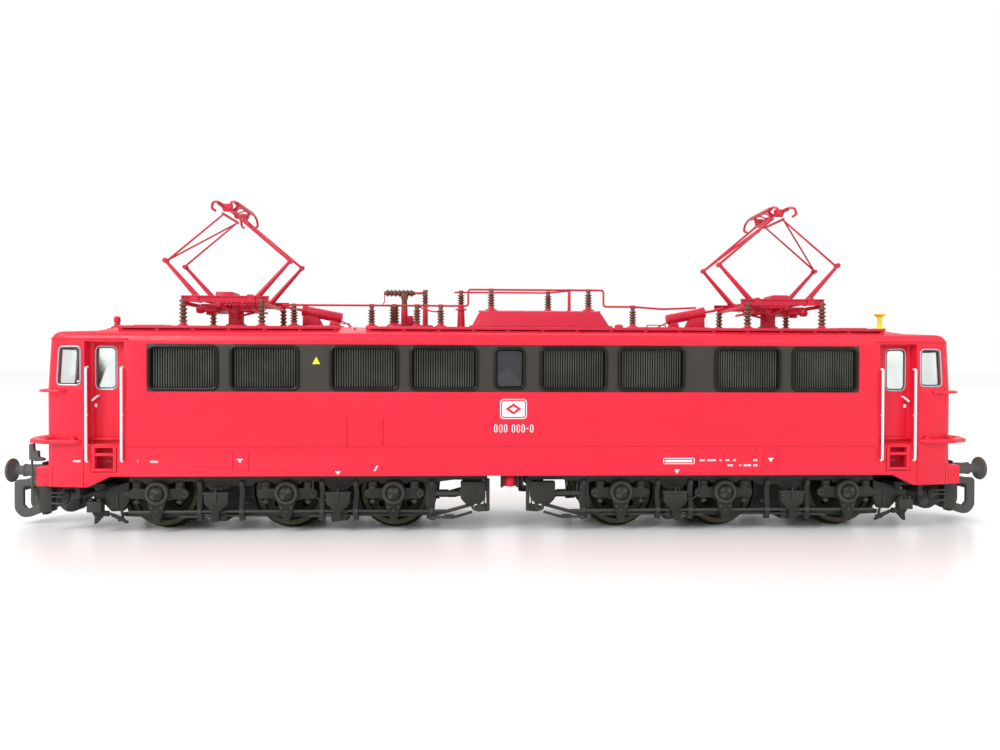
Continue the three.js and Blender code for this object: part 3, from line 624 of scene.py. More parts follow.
def roof_section(inset, low):
    s = sizes()
    w = s.half_width - inset
    p = [Vector((w, s.shoulder_height - inset / 2)), Vector((w, s.shoulder_height - inset / 2 + 1.1)),
         Vector((11.6 - inset, s.roof_height - inset - 0.75)),
         Vector((9.6 - inset / 2, s.roof_height - inset - 0.45))]
    curve = []
    for i in range(11):
        t = i / 10
        u = 1 - t
        curve.append(p[0] * u ** 3 + p[1] * 3 * t * u ** 2 + p[2] * 3 * t * t * u + p[3] * t ** 3)
    half = [(w, low), *[tuple(q) for q in curve], (8.1, s.roof_height - inset - 0.12),
            (5, s.roof_height + 0.12 - inset)]
    return half + [(0, s.crown_height - inset)] + [(-y, z) for y, z in reversed(half)]


def side_view(inset):
    skirt = sizes().skirt_height
    half = [
        (60.1, skirt - inset), (63.5, PILOT_Z - inset), (72, PILOT_Z - inset), (72, 30.85 - inset),
        (62.5, 31.15 - inset), (60.8, 31.5 - inset), (60.4, 33 - inset),
    ]
    return half + [(-x, z) for x, z in reversed(half)]


def leaning_plan(inset, low, high):
    """The plan extruded to the sill, then on with its cab fronts drawn back and rounded into the roof."""
    obj = extruded(plan(inset), "z", low, SILL_Z)
    only(obj)
    bpy.ops.object.mode_set(mode="EDIT")
    bpy.ops.mesh.select_mode(type="FACE")
    bpy.ops.mesh.select_all(action="DESELECT")
    bpy.ops.object.mode_set(mode="OBJECT")
    for face in obj.data.polygons:
        face.select = face.center.z > (SILL_Z - 0.01) * MM
    below, drawn = SILL_Z, 0
    for z, back in [*((z - inset, back) for z, back in CROWN_CURVE), (high, CROWN_BACK)]:
        step = (0, 0, (z - below) * MM)
        bpy.ops.object.mode_set(mode="EDIT")
        bpy.ops.mesh.extrude_region_move(TRANSFORM_OT_translate={"value": step})
        bpy.ops.object.mode_set(mode="OBJECT")
        inward = min(z - below, 9) * LEAN + back - drawn
        for vertex in obj.data.vertices:
            if vertex.select and abs(vertex.co.x) > (TAPER_X + 0.5) * MM:
                vertex.co.x -= math.copysign(inward * MM, vertex.co.x)
        below, drawn = z, back
    only(obj)
    bpy.ops.object.mode_set(mode="EDIT")
    bpy.ops.mesh.select_mode(type="VERT")
    bpy.ops.object.mode_set(mode="OBJECT")
    in_edit(obj, face_out)
    return obj


def hollow_body():
    s = sizes()
    outer = extruded(roof_section(0, 5), "x", -73, 73)
    carve(outer, leaning_plan(0, 5.5, 37), "INTERSECT")
    carve(outer, extruded(side_view(0), "y", -14, 14), "INTERSECT")
    inner = extruded(roof_section(s.wall, 4), "x", -73, 73)
    carve(inner, leaning_plan(s.wall, 4, 40), "INTERSECT")
    carve(inner, extruded(side_view(s.wall + 0.2), "y", -14, 14), "INTERSECT")
    return carve(outer, inner)


def cab_lip():
    """The rain strip round each cab front, back along the sides to the inner door post."""
    lip = leaning_plan(-0.13, 20, 33)
    carve(lip, block((-80, 80), (-20, 20), (29.8, 29.98)), "INTERSECT")
    carve(lip, block((-57.4, 57.4), (-20, 20), (20, 40)))
    return carve(lip, leaning_plan(0.25, 19, 34))


def cab_side_window(grow=0.0):
    """Outline of the cab side window, in X and Z, its front edge leaning."""
    back, low, high = 64.4 - grow, 22.9 - grow, 28.75 + grow
    corners = [(back, high), (back, low), (68.2 + grow, low), (67.8 + grow, high)]
    loop = [(x, 0, z) for x, z in corners]
    rounded_loop = bent([loop[3], *loop, loop[0]], 0.7, 4)[1:-1]
    return [(p.x, p.z) for p in rounded_loop]


class LOCO_OT_body(LocomotiveOperator, bpy.types.Operator):
    """Body shell with its recesses, window openings, hatches and grooves"""

    bl_idname = "loco.body"
    bl_label = "Body Shell"

    def build(self):
        s = sizes()
        w = s.half_width
        shell = hollow_body()
        lining = mirrored(block((57.3, 64.4), (w - DOOR_DEPTH - 0.9, w - 0.3), (13.2, 30.1)),
                          x=True, y=True)
        ladder_back = mirrored(block((58.4, 63.4), (w - 2.6, w - 0.3), (9.4, 13.8)), x=True, y=True)
        pilot = mirrored(block((69.1, 71.65), (-11.2, 11.2), (PILOT_Z, 10.45), 0.12), x=True)
        for added in (lining, ladder_back, pilot):
            carve(shell, added, "UNION")
        bays = [
            block(DOOR_X, (w - DOOR_DEPTH, w + 1), DOOR_Z),
            block((59.0, 62.9), (w - 2.3, w + 1), (9.75, 13.45)),
            extruded(rounded(*DOOR_WINDOW), "y", w - 4, w - 1),
            extruded(cab_side_window(), "y", 9, 14),
            extruded(rounded(*FRONT_WINDOW), "x", 65.5, 73),
            block((63.92, 64.04), (w - 0.14, w + 1), (7, 13.5)),
            block((68.95, 69.07), (11.55, w + 1), (7, 10.6)),
        ]
        for bay in bays:
            carve(shell, mirrored(bay, x=True, y=True))
        carve(shell, mirrored(block((-s.band_half_length, s.band_half_length), (w - 1.6, w + 1),
                                    (21.95, 29.15)), y=True))
        carve(shell, mirrored(block((-57.3, 57.3), (w - 0.1, w + 1), (13.5, 13.64)), y=True))
        round_edges(shell, 0.07, 2, 40)
        ribs = [block((x - 0.12, x + 0.12), (w - 0.1, w + 0.17), (14.2, 18), 0.05) for x in (-24.8, -19.35)]
        ribs += [block((x, x + 0.5), (w - 0.1, w + 0.28), (13.95, 14.35), 0.07) for x in (-25.1, -19.75)]
        ribs += [block((x - 0.07, x + 0.07), (w - 0.1, w + 0.1), (10.05, 13.1), 0.03)
                 for x in (-41.93, -39.53, 39.68, 41.89)]
        ribs += [block((a, b), (w - 0.1, w + 0.07), (z, z + 0.13), 0.03) for z in (10.05, 13.0)
                 for a, b in ((-41.9, -39.5), (39.7, 41.9))]
        far = joined(ribs)
        near = twin(far, (1, -1, 1))
        far.scale = (-1, 1, 1)
        in_edit(settle(far), face_out)
        sills = mirrored(block((-57, 57), (w - 0.3, w + 0.06), (s.skirt_height, s.skirt_height + 0.28),
                               0.05), y=True)
        shape = joined([shell, far, near, sills, cab_lip()])
        finished(shape, "red_body", BODY, "body", ["body_shell"])


class LOCO_OT_band(LocomotiveOperator, bpy.types.Operator):
    """Dark window band with its louvred grilles and middle windows"""

    bl_idname = "loco.band"
    bl_label = "Window Band"

    def build(self):
        s = sizes()
        w = s.half_width
        middle = BAND_MIDDLE[1]
        panel = block((-s.band_half_length, s.band_half_length), (w - 1.5, w - 0.06), (21.97, 29.13), 0.04)
        openings = [extruded(rounded((x, middle), (s.louvre_width - 0.7, s.louvre_height - 0.7), 0.6),
                             "y", w - 0.9, w + 1)
                    for x in LOUVRES]
        openings = mirrored(joined(openings), x=True)
        window = extruded(rounded(BAND_MIDDLE, (4.2, 5.9), 0.6), "y", w - 0.9, w + 1)
        carve(panel, joined([openings, window]))
        rims, slats, backs = [], [], []
        inner = (s.louvre_width - 0.9, s.louvre_height - 0.9)
        count = int(inner[0] / s.slat_pitch)
        for x in LOUVRES:
            outline = rounded((x, middle), (s.louvre_width - 0.45, s.louvre_height - 0.45), 0.75)
            rims.append(wire([(u, w - 0.02, v) for u, v in outline], 0.27, True))
            start = x - s.slat_pitch * (count - 1) / 2
            slat = block((start - 0.075, start + 0.075), (w - 0.75, w - 0.3),
                         around(middle, inner[1] / 2 + 0.15))
            slats.append(in_row(slat, count, (s.slat_pitch, 0, 0)))
            backs.append(block(around(x, inner[0] / 2 + 0.2), (w - 1.1, w - 0.7),
                               around(middle, inner[1] / 2 + 0.2), 0.05))
        grilles = mirrored(joined(rims + backs), x=True)
        slats = mirrored(joined(slats), x=True)
        outline = rounded(BAND_MIDDLE, (4.45, 6.15), 0.7)
        window_rim = wire([(u, w - 0.02, v) for u, v in outline], 0.24, True)
        grilles = joined([grilles, window_rim])
        pane = extruded(rounded(BAND_MIDDLE, (4.3, 6), 0.6), "y", w - 0.75, w - 0.4, 0.05)
        triangle = extruded([(-29.9, 26.15), (-28.7, 26.15), (-29.3, 27.25)], "y", w - 0.1, w - 0.035)
        for side, scale in (("near", (1, -1, 1)), ("far", (-1, 1, 1))):
            for shape, name, slot, key, nodes in (
                (panel, "window_band", "band_grey", "band", [f"louvre_panel_{side}"]),
                (grilles, "louvre_grilles", "black_plastic", "louvre", []),
                # The slats' finish is a lighter copy of the grille black, a painted highlight.
                (slats, "louvre_slats", "black_plastic", "slat", []),
                (pane, "middle_window", "black_plastic", "dark_glass", []),
                (triangle, "band_triangle", "yellow", "yellow", []),
            ):
                finished(twin(shape, scale), f"{name}_{side}", BODY, key, nodes)
        for shape in (panel, grilles, slats, pane, triangle):
            bpy.data.objects.remove(shape)


class LOCO_OT_cabs(LocomotiveOperator, bpy.types.Operator):
    """Cab windows, doors, interiors and lamps"""

    bl_idname = "loco.cabs"
    bl_label = "Cabs"

    def build(self):
        w = sizes().half_width
        door_y = w - DOOR_DEPTH
        rims = [wire([(x, wall_y(x) + 0.02, z) for x, z in cab_side_window(-0.02)], 0.11, True)]
        rims.append(wire([(x, door_y + 0.02, z) for x, z in rounded(*DOOR_WINDOW)], 0.11, True))
        at_both_ends(mirrored(joined(rims), y=True), "window_rims_{end}", BODY, "silver")
        seals = [wire([(x, wall_y(x) - 0.12, z) for x, z in cab_side_window(-0.22)], 0.09, True)]
        seals.append(wire([(x, door_y - 0.1, z) for x, z in rounded(DOOR_WINDOW[0], (2.78, 6.15), 0.62)],
                          0.09, True))
        seals.append(wire([(self.front_x(y, z) - 0.03, y, z)
                           for y, z in rounded(FRONT_WINDOW[0], (8.5, 5.8), 0.9)], 0.2, True))
        at_both_ends(mirrored(joined(seals), y=True), "window_seals_{end}", BODY, "black")
        panes = [
            self.tilted_pane(),
            extruded(rounded(DOOR_WINDOW[0], (3.1, 6.4), 0.7), "y", door_y - 0.5, door_y - 0.15, 0.05),
            self.front_pane(),
        ]
        at_both_ends(
            mirrored(joined(panes), y=True), "cab_panes_{end}", BODY, "glass",
            ["cab_glazing_{end}"],
        )
        at_both_ends(self.interior(), "cab_interior_{end}", BODY, "cab")
        lamps = [
            turned([(0, 0), (1.15, 0), (1.25, 0.25), (1.15, 0.75), (0.9, 0.85), (0.85, 0.6), (0, 0.6)],
                   "x", HEADLAMP),
            turned([(0, 0), (0.75, 0), (0.8, 0.2), (0.7, 0.55), (0.55, 0.6), (0.5, 0.4), (0, 0.4)],
                   "x", TOP_LAMP),
        ]
        lamps[0] = mirrored(lamps[0], y=True)
        at_both_ends(joined(lamps), "lamp_bodies_{end}", BODY, "silver")
        lenses = [
            turned([(0, 0.55), (0.82, 0.58), (0.6, 0.72), (0, 0.8)], "x", HEADLAMP),
            turned([(0, 0.38), (0.5, 0.4), (0.3, 0.5), (0, 0.54)], "x", TOP_LAMP),
        ]
        lenses[0] = mirrored(lenses[0], y=True)
        at_both_ends(joined(lenses), "lamp_lenses_{end}", BODY, "lens")

    def front_x(self, y, z):
        """Outer face of the cab front at a height."""
        return PROW_X - (PROW_X - CORNER[0]) * abs(y) / CORNER[1] - max(0, z - SILL_Z) * LEAN

    def tilted_pane(self):
        pane = extruded(cab_side_window(-0.1), "y", -0.2, 0.15)
        for vertex in pane.data.vertices:
            vertex.co.y += (wall_y(vertex.co.x / MM) - 0.35) * MM
        in_edit(pane, face_out)
        return pane

    def front_pane(self):
        pane = extruded(rounded(FRONT_WINDOW[0], (8.3, 5.6), 0.8), "x", -0.2, 0.15)
        for vertex in pane.data.vertices:
            vertex.co.x += (self.front_x(vertex.co.y / MM, vertex.co.z / MM) - 0.45) * MM
        in_edit(pane, face_out)
        return pane

    def interior(self):
        """Floor, rear wall, desk with dials, and a driver's seat."""
        desk = extruded([(64.8, 14.8), (68.3, 14.8), (68.3, 20.2), (67.4, 20.6), (64.8, 19.4)],
                        "y", -8.2, 8.2, 0.15)
        seat = [
            block((61.6, 63.6), (-5.6, -3.2), (17.6, 18.3), 0.2),
            block((61.4, 61.9), (-5.6, -3.2), (18.2, 21.4), 0.2),
            rod((62.6, -4.4, 14.7), (62.6, -4.4, 17.7), 0.35),
        ]
        wheel = wire([(66.3 + math.cos(t) * 0.25, -4.4 + math.sin(t) * 0.9, 20.2 + math.cos(t) * 0.9)
                      for t in [i * math.pi / 8 for i in range(16)]], 0.1, True)
        dials = [turned([(0, 0), (0.45, 0), (0.45, 0.2), (0, 0.25)], "x", (67.3, y, 20.9), 12, -1)
                 for y in (-6, -4.4, -2.8)]
        back = block((56.9, 57.3), (-9.4, 9.4), (14.8, 29.8), 0.05)
        floor = block((57.2, 67.8), (-8.6, 8.6), (14.65, 14.9), 0.05)
        return joined([desk, *seat, wheel, *dials, back, floor])


class LOCO_OT_doors(LocomotiveOperator, bpy.types.Operator):
    """Door leaves with handles, thresholds and the ladders below them"""

    bl_idname = "loco.doors"
    bl_label = "Doors"

    def build(self):
        w = sizes().half_width
        y = w - DOOR_DEPTH
        leaf = [
            extruded(rounded((60.87, 21.7), (4.7, 15.2), 0.2), "y", y - 0.25, y + 0.06, 0.03),
            block((58.0, 63.75), (y - 0.1, w - 0.5), (13.68, 13.98), 0.07),
            block((58.0, 63.75), (w - 0.75, w - 0.15), (13.68, 13.92), 0.07),
            block((58.1, 63.65), (y - 0.1, y + 0.5), (14.5, 14.85), 0.08),
        ]
        carve(leaf[0], extruded(rounded(*DOOR_WINDOW), "y", y - 1, y + 1))
        ladder = [
            block((59.08, 59.62), (w - 0.9, w + 0.1), (9.8, 13.55), 0.1),
            block((62.28, 62.82), (w - 0.9, w + 0.1), (9.8, 13.55), 0.1),
            *[block((59.4, 62.5), (w - 0.9, w + 0.04), (z, z + 0.45), 0.1) for z in (9.85, 12.2)],
            block((59.6, 61.3), (w - 2.2, w - 1.3), (11.2, 11.4), 0.05),
        ]
        shape = mirrored(joined(leaf + ladder), y=True)
        at_both_ends(shape, "doors_{end}", BODY, "body")
        handle = [
            wire(bent([(62.45, y, 21.25), (62.5, y + 0.45, 21.25), (63.2, y + 0.9, 20.5)], 0.2), 0.15),
            block((62.75, 63.1), (y, y + 0.22), (19.5, 20.05), 0.05),
        ]
        at_both_ends(mirrored(joined(handle), y=True), "door_handles_{end}", BODY, "white")


class LOCO_OT_rails(LocomotiveOperator, bpy.types.Operator):
    """White handrails, front grab rails and the step board round each nose"""

    bl_idname = "loco.rails"
    bl_label = "Handrails"

    def build(self):
        s = sizes()
        w, r = s.half_width, s.handrail_radius
        rails = []
        for x in HANDRAIL_X:
            path = [(x, w - 0.2, 11.35), (x, w + 0.4, 11.5), (x, w + 0.4, 25.55), (x, w - 0.2, 25.6)]
            rails.append(wire(bent(path, 0.4, 3), r))
            rails.append(rod((x, w - 0.1, 18.4), (x, w + 0.4, 18.4), 0.13))
        at_both_ends(mirrored(joined(rails), y=True), "handrails_{end}", BODY, "white")
        upper = [(66.8, -12.15, 22.0), (67.4, -12.75, 22.0), (70.2, -12.3, 22.0), (71.6, -10.2, 22.0),
                 (72.3, 0, 22.0)]
        upper += [(x, -y, z) for x, y, z in reversed(upper[:-1])]
        grab = [wire(bent(upper, 1.2, 4), 0.2)]
        grab += [rod((70.2, y, 22), (72.0, y, 22), 0.14) for y in (-6, 0, 6)]
        outer = [(64.2, -12.35), (64.8, -13.0), (69.7, -13.0), (72.6, -11.2), (74.1, -7.4), (74.2, 0)]
        outer += [(x, -y) for x, y in reversed(outer[:-1])]
        inner = [(64.2, -12.0), (69.4, -11.5), (72.0, -9.9), (73.1, -6.8), (73.2, 0)]
        inner += [(x, -y) for x, y in reversed(inner[:-1])]
        board = extruded(outer + list(reversed(inner)), "z", 14.05, 14.7)
        round_edges(board, 0.24, 3, 25)
        lugs = [rod((69.6, y, 14.55), (73.4, y, 14.55), 0.22) for y in (-8, -2.7, 2.7, 8)]
        studs = [turned([(0, 0), (0.42, 0), (0.4, 0.4), (0.2, 0.55), (0, 0.56)], "z", (x, y, 14.6), 12)
                 for x, y in ((65.5, -12.5), (65.5, 12.5), (69.4, -12.3), (69.4, 12.3))]
        at_both_ends(joined([*grab, board, *lugs, *studs]), "nose_rails_{end}", BODY, "body")


class LOCO_OT_markings(LocomotiveOperator, bpy.types.Operator):
    """Plain printed marks in place of lettering"""

    bl_idname = "loco.markings"
    bl_label = "Markings"

    def build(self):
        y = sizes().half_width

        def plate(x0, x1, z0, z1):
            return block((x0, x1), (y - 0.02, y + 0.025), (z0, z1))

        ring = extruded(rounded(EMBLEM, (4.1, 3.05), 0.5), "y", y - 0.02, y + 0.025)
        carve(ring, extruded(rounded(EMBLEM, (3.84, 2.79), 0.4), "y", y - 1, y + 1))
        field = extruded(rounded(EMBLEM, (3.45, 2.4), 0.25), "y", y - 0.02, y + 0.025)
        carve(field, extruded([(-0.55, 19.36), (0.7, 18.5), (1.95, 19.36), (0.7, 20.22)],
                              "y", y - 1, y + 1))
        core = extruded([(0.1, 19.36), (0.7, 18.95), (1.3, 19.36), (0.7, 19.77)], "y", y - 0.02, y + 0.025)
        marks = [ring, field, core]
        for x in (-2.25, -1.5, -0.75, 0.45, 1.2, 1.95, 3.25):
            marks += [plate(x, x + 0.5, 16.87, 17.0), plate(x, x + 0.5, 15.75, 15.88)]
            marks += [plate(x, x + 0.13, 15.75, 17.0), plate(x + 0.37, x + 0.5, 15.75, 17.0)]
        marks.append(plate(2.65, 3.0, 16.3, 16.44))
        rows = [(29.6, 0.9, 11.3), (30.8, 1.5, 11.3), (32.7, 0.5, 11.3), (33.6, 0.8, 11.3),
                (34.8, 0.6, 11.3),
                (34.0, 0.9, 10.5), (35.8, 0.4, 10.5), (36.5, 1.2, 10.5), (38.0, 0.7, 11.3),
                (38.0, 0.7, 10.5),
                (-54.1, 1.3, 11.2), (-56.0, 0.3, 11.3), (-65.6, 1.2, 11.3)]
        marks += [plate(x + i * 0.17, x + i * 0.17 + 0.11, z, z + 0.3) for x, size, z in rows
                  for i in range(int(size / 0.17))]
        marks += [plate(23.9, 28.8, 11.68, 11.8), plate(23.9, 28.8, 10.86, 10.98),
                  plate(24.2, 28.4, 11.15, 11.5)]
        marks += [plate(23.9, 24.02, 10.86, 11.8), plate(28.68, 28.8, 10.86, 11.8)]
        for x, z in ((26.05, 9.6), (-26.0, 9.45), (40.75, 11.35), (-40.75, 11.35)):
            marks += [plate(x - 0.4, x + 0.4, z + 0.28, z + 0.42),
                      extruded([(x - 0.3, z + 0.25), (x, z - 0.2), (x + 0.3, z + 0.25)],
                               "y", y - 0.02, y + 0.025)]
        marks.append(extruded([(-20.6, 9.9), (-20.35, 9.9), (-19.9, 10.7), (-20.15, 10.7)],
                              "y", y - 0.02, y + 0.025))
        shape = joined(marks)
        for vertex in shape.data.vertices:
            x = abs(vertex.co.x / MM)
            if x > TAPER_X:
                vertex.co.y += (wall_y(x) - y) * MM
        near = twin(shape, (1, -1, 1))
        far = twin(shape, (-1, 1, 1))
        bpy.data.objects.remove(shape)
        finished(near, "printed_marks_near", BODY, "white")
        finished(far, "printed_marks_far", BODY, "white")


# ---- Roof ----
def insulator(at, height):
    """A ribbed insulator on a flared foot. Returns its brown stack and its red foot."""
    s = sizes()
    r, count = s.insulator_radius, s.shed_count
    step = (height - 1.3) / count
    profile = [(0, 0.5), (r * 0.62, 0.5)]
    for i in range(count):
        h = 0.7 + i * step
        profile += [(r * 0.6, h), (r, h + step * 0.28), (r * 0.97, h + step * 0.46),
                    (r * 0.55, h + step * 0.8)]
    profile += [(r * 0.5, height - 0.5), (r * 0.62, height - 0.38), (r * 0.62, height), (0, height)]
    foot = [(0, 0), (r * 1.55, 0), (r * 1.5, 0.16), (r * 0.85, 0.36), (r * 0.78, 0.6), (0, 0.6)]
    return turned(profile, "z", at, 14), turned(foot, "z", at, 14)


def insulators(places):
    """Many insulators: the brown stacks joined, and the feet joined."""
    pairs = [insulator(at, height) for at, height in places]
    return joined(p[0] for p in pairs), joined(p[1] for p in pairs)


class LOCO_OT_walkways(LocomotiveOperator, bpy.types.Operator):
    """Boards along the roof edges, the hood and small roof fittings"""

    bl_idname = "loco.walkways"
    bl_label = "Roof Boards and Hood"

    def build(self):
        boards = []
        for x0, x1 in WALKWAYS:
            for y in (8.15, 8.98, 9.81):
                boards.append(block((x0, x1), (y, y + 0.74), (31.55, 32.02), 0.08))
            boards.append(block((x0 + 0.1, x1 - 0.1), (8.3, 8.7), (30.9, 31.6), 0.05))
            count = int((x1 - x0) / 5.2)
            post = block((x0 + 0.2, x0 + 0.75), (8.4, 10.4), (30.75, 31.6), 0.07)
            boards.append(in_row(post, count + 1, ((x1 - x0 - 0.95) / count, 0, 0)))
        boards = mirrored(joined(boards), y=True)
        finished(boards, "roof_boards", BODY, "roof")
        end_view = [(-6.2, 32.3), (6.2, 32.3), (5.2, 34.75), (4.6, 35.0), (-4.6, 35.0), (-5.2, 34.75)]
        hood = extruded(end_view, "x", -6, 17)
        side = [(-5.8, 32.2), (16.7, 32.2), (15.5, 34.3), (14.9, 35.1), (-4.1, 35.1), (-4.7, 34.3)]
        carve(hood, extruded(side, "y", -8, 8), "INTERSECT")
        round_edges(hood, 0.22, 3, 20)
        seams = [block((x, x + 0.12), (-8, 8), (34.9, 36)) for x in (1.6, 9.2)]
        rib = [block((-4.6, 15.4), (y, y + 0.3), (34.7, 34.99), 0.08) for y in (-4.4, 4.1)]
        flange = block((-6.1, 17.0), (-6.5, 6.5), (32.2, 32.45), 0.08)
        nub = turned([(0, 0), (0.7, 0), (0.65, 0.35), (0.3, 0.5), (0, 0.52)], "z", (18.4, -4.6, 32.3), 16)
        carve(hood, joined(seams))
        finished(joined([hood, flange, nub, *rib]),
                 "roof_hood_cover", BODY, "roof", ["roof_hood"])
        fittings = []
        for x in (-57.5, -30.2, 24.2, 57.5):
            fittings.append(block((x - 2.4, x + 2.4), (-4.6, 4.6), (32.1, 32.42), 0.12))
            fittings.append(block((x - 1.9, x + 1.9), (-0.12, 0.12), (32.3, 32.6), 0.05))
        for x in range(-60, 61, 12):
            fittings.append(block((x - 0.12, x + 0.12), (-9.4, 9.4), (31.4, 31.9)))
        fittings += [wire([(x, -6.6, 31.9), (x, -6.6, 32.6), (x + 3, -6.6, 32.6), (x + 3, -6.6, 31.9)],
                          0.12)
                     for x in (-28.2, 22.6)]
        finished(joined(fittings), "roof_fittings", BODY, "roof")


class LOCO_OT_conductor(LocomotiveOperator, bpy.types.Operator):
    """Roof conductor on its insulators, and the main breaker"""

    bl_idname = "loco.conductor"
    bl_label = "Roof Conductor"

    def build(self):
        y, low, high, top = CONDUCTOR_Y, 35.8, 38.5, 35.1
        places = [((x, y, DECK - 0.1), low - DECK + 0.15) for x in (-34.7, -22.1, -14.7, -10.8, 21.0)]
        places += [((x, y, top - 0.05), high - top + 0.1) for x in (-2.5, 13.6)]
        places += [((7.2, 0, top - 0.05), high - top + 0.1), ((-7.5, 0, 35.3), high - 35.2)]
        stacks, feet = insulators(places)
        big = turned([(0, 0.5), (0.7, 0.5)] + [p for i in range(5) for p in (
            (0.6, 0.7 + i * 0.48), (0.92, 0.84 + i * 0.48), (0.58, 1.05 + i * 0.48))] + [(0.7, 3.3),
                (0.7, 3.45), (0, 3.45)],
            "z", (-18.4, y, DECK - 0.1), 18)
        big_foot = turned([(0, 0), (1.35, 0), (1.3, 0.2), (0.9, 0.45), (0.8, 0.62), (0, 0.62)],
                          "z", (-18.4, y, DECK - 0.1), 18)
        column = rod((-7.5, 0, DECK - 0.2), (-7.5, 0, 35.4), 0.68, 0.55, 16)
        post = rod((10.4, y, top - 0.1), (10.4, y, high), 0.28, 0.24, 10)
        finished(joined([stacks, big]), "conductor_insulators", BODY, "insulator")
        bar = bent([(-36.6, y, low), (-6.3, y, low), (-6.3, y, high), (16.1, y, high), (16.1, y, low),
                    (21.0, y, low),
                    (26, y, low - 0.35), (31.6, y, low - 0.1)], 0.5)
        second = bent([(-8.6, 0, high - 0.2), (7.2, 0, high - 0.2), (10.4, y, high - 0.1)], 0.5)
        bars = [wire(bar, 0.17), wire(second, 0.15)]
        clamps = [block((x - 0.42, x + 0.42), (y - 0.25, y + 0.25), (low - 0.16, low + 0.24), 0.06)
                  for x in (-34.7, -22.1, -18.4, -14.7, -10.8, 21.0)]
        clamps += [block((x - 0.4, x + 0.4), (y - 0.22, y + 0.22), (high - 0.14, high + 0.19), 0.06)
                   for x in (-2.5, 10.4, 13.6)]
        drop = wire([(-14.7, y, low - 0.1), (-12.4, y, low - 0.9), (-10.9, y, low - 1.0)], 0.12)
        shape = joined([*bars, *clamps, drop, column, post, feet, big_foot])
        finished(shape, "conductor_bars", BODY, "roof", ["roof_busbar"])
        self.breaker()

    def breaker(self):
        chamber = [(0, 0), (0.34, 0), (0.36, 0.2)]
        for i in range(7):
            chamber += [(0.4, 0.35 + i * 0.66), (0.62, 0.52 + i * 0.66), (0.6, 0.68 + i * 0.66),
                        (0.4, 0.85 + i * 0.66)]
        chamber += [(0.36, 5.0), (0.3, 5.2), (0, 5.2)]
        brown = [turned(chamber, "x", (-20.4, 0, 38.1), 16)]
        brown.append(turned([(0, 0), (0.55, 0), (0.5, 0.9), (0.45, 1.6), (0.72, 2.5), (0.7, 2.8),
                             (0, 2.8)], "z", (BREAKER_POSTS[0], 0, 35.2), 16))
        brown.append(turned([(0, 0), (0.42, 0), (0.36, 0.4)] + [p for i in range(4) for p in (
            (0.36, 0.6 + i * 0.5), (0.6, 0.74 + i * 0.5), (0.36, 0.98 + i * 0.5))] + [(0.4, 2.7),
                (0.42, 3.2), (0, 3.25)],
            "z", (BREAKER_POSTS[1], 0, 35.45), 16))
        red = [
            turned([(0, 0), (1.0, 0), (0.95, 0.3), (0.6, 0.6), (0.55, 2.9), (0, 2.9)],
                   "z", (BREAKER_POSTS[0], 0, DECK), 16),
            turned([(0, 0), (0.8, 0), (0.75, 0.25), (0.45, 0.5), (0.42, 3.15), (0, 3.15)],
                   "z", (BREAKER_POSTS[1], 0, DECK), 16),
            block((-18.4, -12.2), (-1.0, 1.0), (DECK - 0.1, DECK + 0.32), 0.1),
            extruded([(-17.9, 32.7), (-15.2, 32.7), (-15.6, 34.3), (-16.4, 34.3)], "y", -0.35, 0.35, 0.08),
            wire([(-20.3, 0, 38.1), (-20.3, -0.3, 36.6), (-20.4, -2.9, 35.8)], 0.09),
            wire([(-15.4, 0, 38.1), (-14.4, 0, 38.12), (-13.4, 0, 38.15)], 0.2),
        ]
        finished(joined(brown), "breaker_insulators", BODY, "insulator")
        finished(joined(red), "breaker_mounts", BODY, "roof", ["circuit_breaker"])


class LOCO_OT_lowering_gear(LocomotiveOperator, bpy.types.Operator):
    """Inclined cylinders beside the pantographs, and the horns"""

    bl_idname = "loco.lowering_gear"
    bl_label = "Cylinders and Horns"

    def build(self):
        body = rod((27.4, 0, 33.85), (33.7, 0, 35.1), 0.85, 0.85, 24)
        round_edges(body, 0.14, 2, 40)
        collar = rod((33.2, 0, 35.0), (33.9, 0, 35.14), 0.95, 0.95, 24)
        round_edges(collar, 0.08, 2, 40)
        bracket = extruded([(30.4, 32.3), (33.9, 32.3), (33.8, 34.9), (31.4, 34.3)], "y", -0.55, 0.55, 0.1)
        foot = extruded([(27.6, 32.3), (29.6, 32.3), (29.1, 33.9), (28.1, 33.7)], "y", -0.5, 0.5, 0.1)
        plate = block((27.2, 34.4), (-1.3, 1.3), (32.25, 32.55), 0.08)
        link_rod = wire([(33.8, 0, 35.12), (35.6, 0, 35.45), (37.2, 0, 35.85)], 0.22)
        pipe = wire(bent([(27.6, 0.4, 33.4), (26.4, 0.6, 32.8), (26.2, 2.6, 32.5)], 0.5), 0.12)
        shape = joined([body, collar, bracket, foot, plate, link_rod, pipe])
        at_both_ends(shape, "lowering_gear_{end}", BODY, "roof", ["lowering_cylinder_{end}"])
        flare = [(0, 0), (1.0, 0), (0.95, 0.22), (0.42, 0.4), (0.36, 1.7), (0.5, 2.15), (0.95, 2.45),
                 (0.95, 2.62), (0.6, 2.6),
                 (0.25, 2.3), (0, 2.25)]
        yellow = turned(flare, "z", (HORN_X, 0, 32.42), 24)
        whistle = turned([(0, 0), (1.0, 0), (0.95, 0.22), (0.5, 0.4), (0.42, 1.0), (0.55, 1.1), (0.5, 1.8),
                          (0.2, 2.0), (0, 2.0)],
                         "z", (-HORN_X, 0, 32.0), 24)
        stand = [turned([(0, 0), (1.6, 0), (1.5, 0.5), (0, 0.55)], "z", (s * HORN_X, 0, 31.45), 24)
                 for s in (1, -1)]
        finished(yellow, "yellow_horn", BODY, "yellow", ["horn_right"])
        finished(joined([whistle, *stand]), "whistle", BODY, "roof", ["horn_left"])


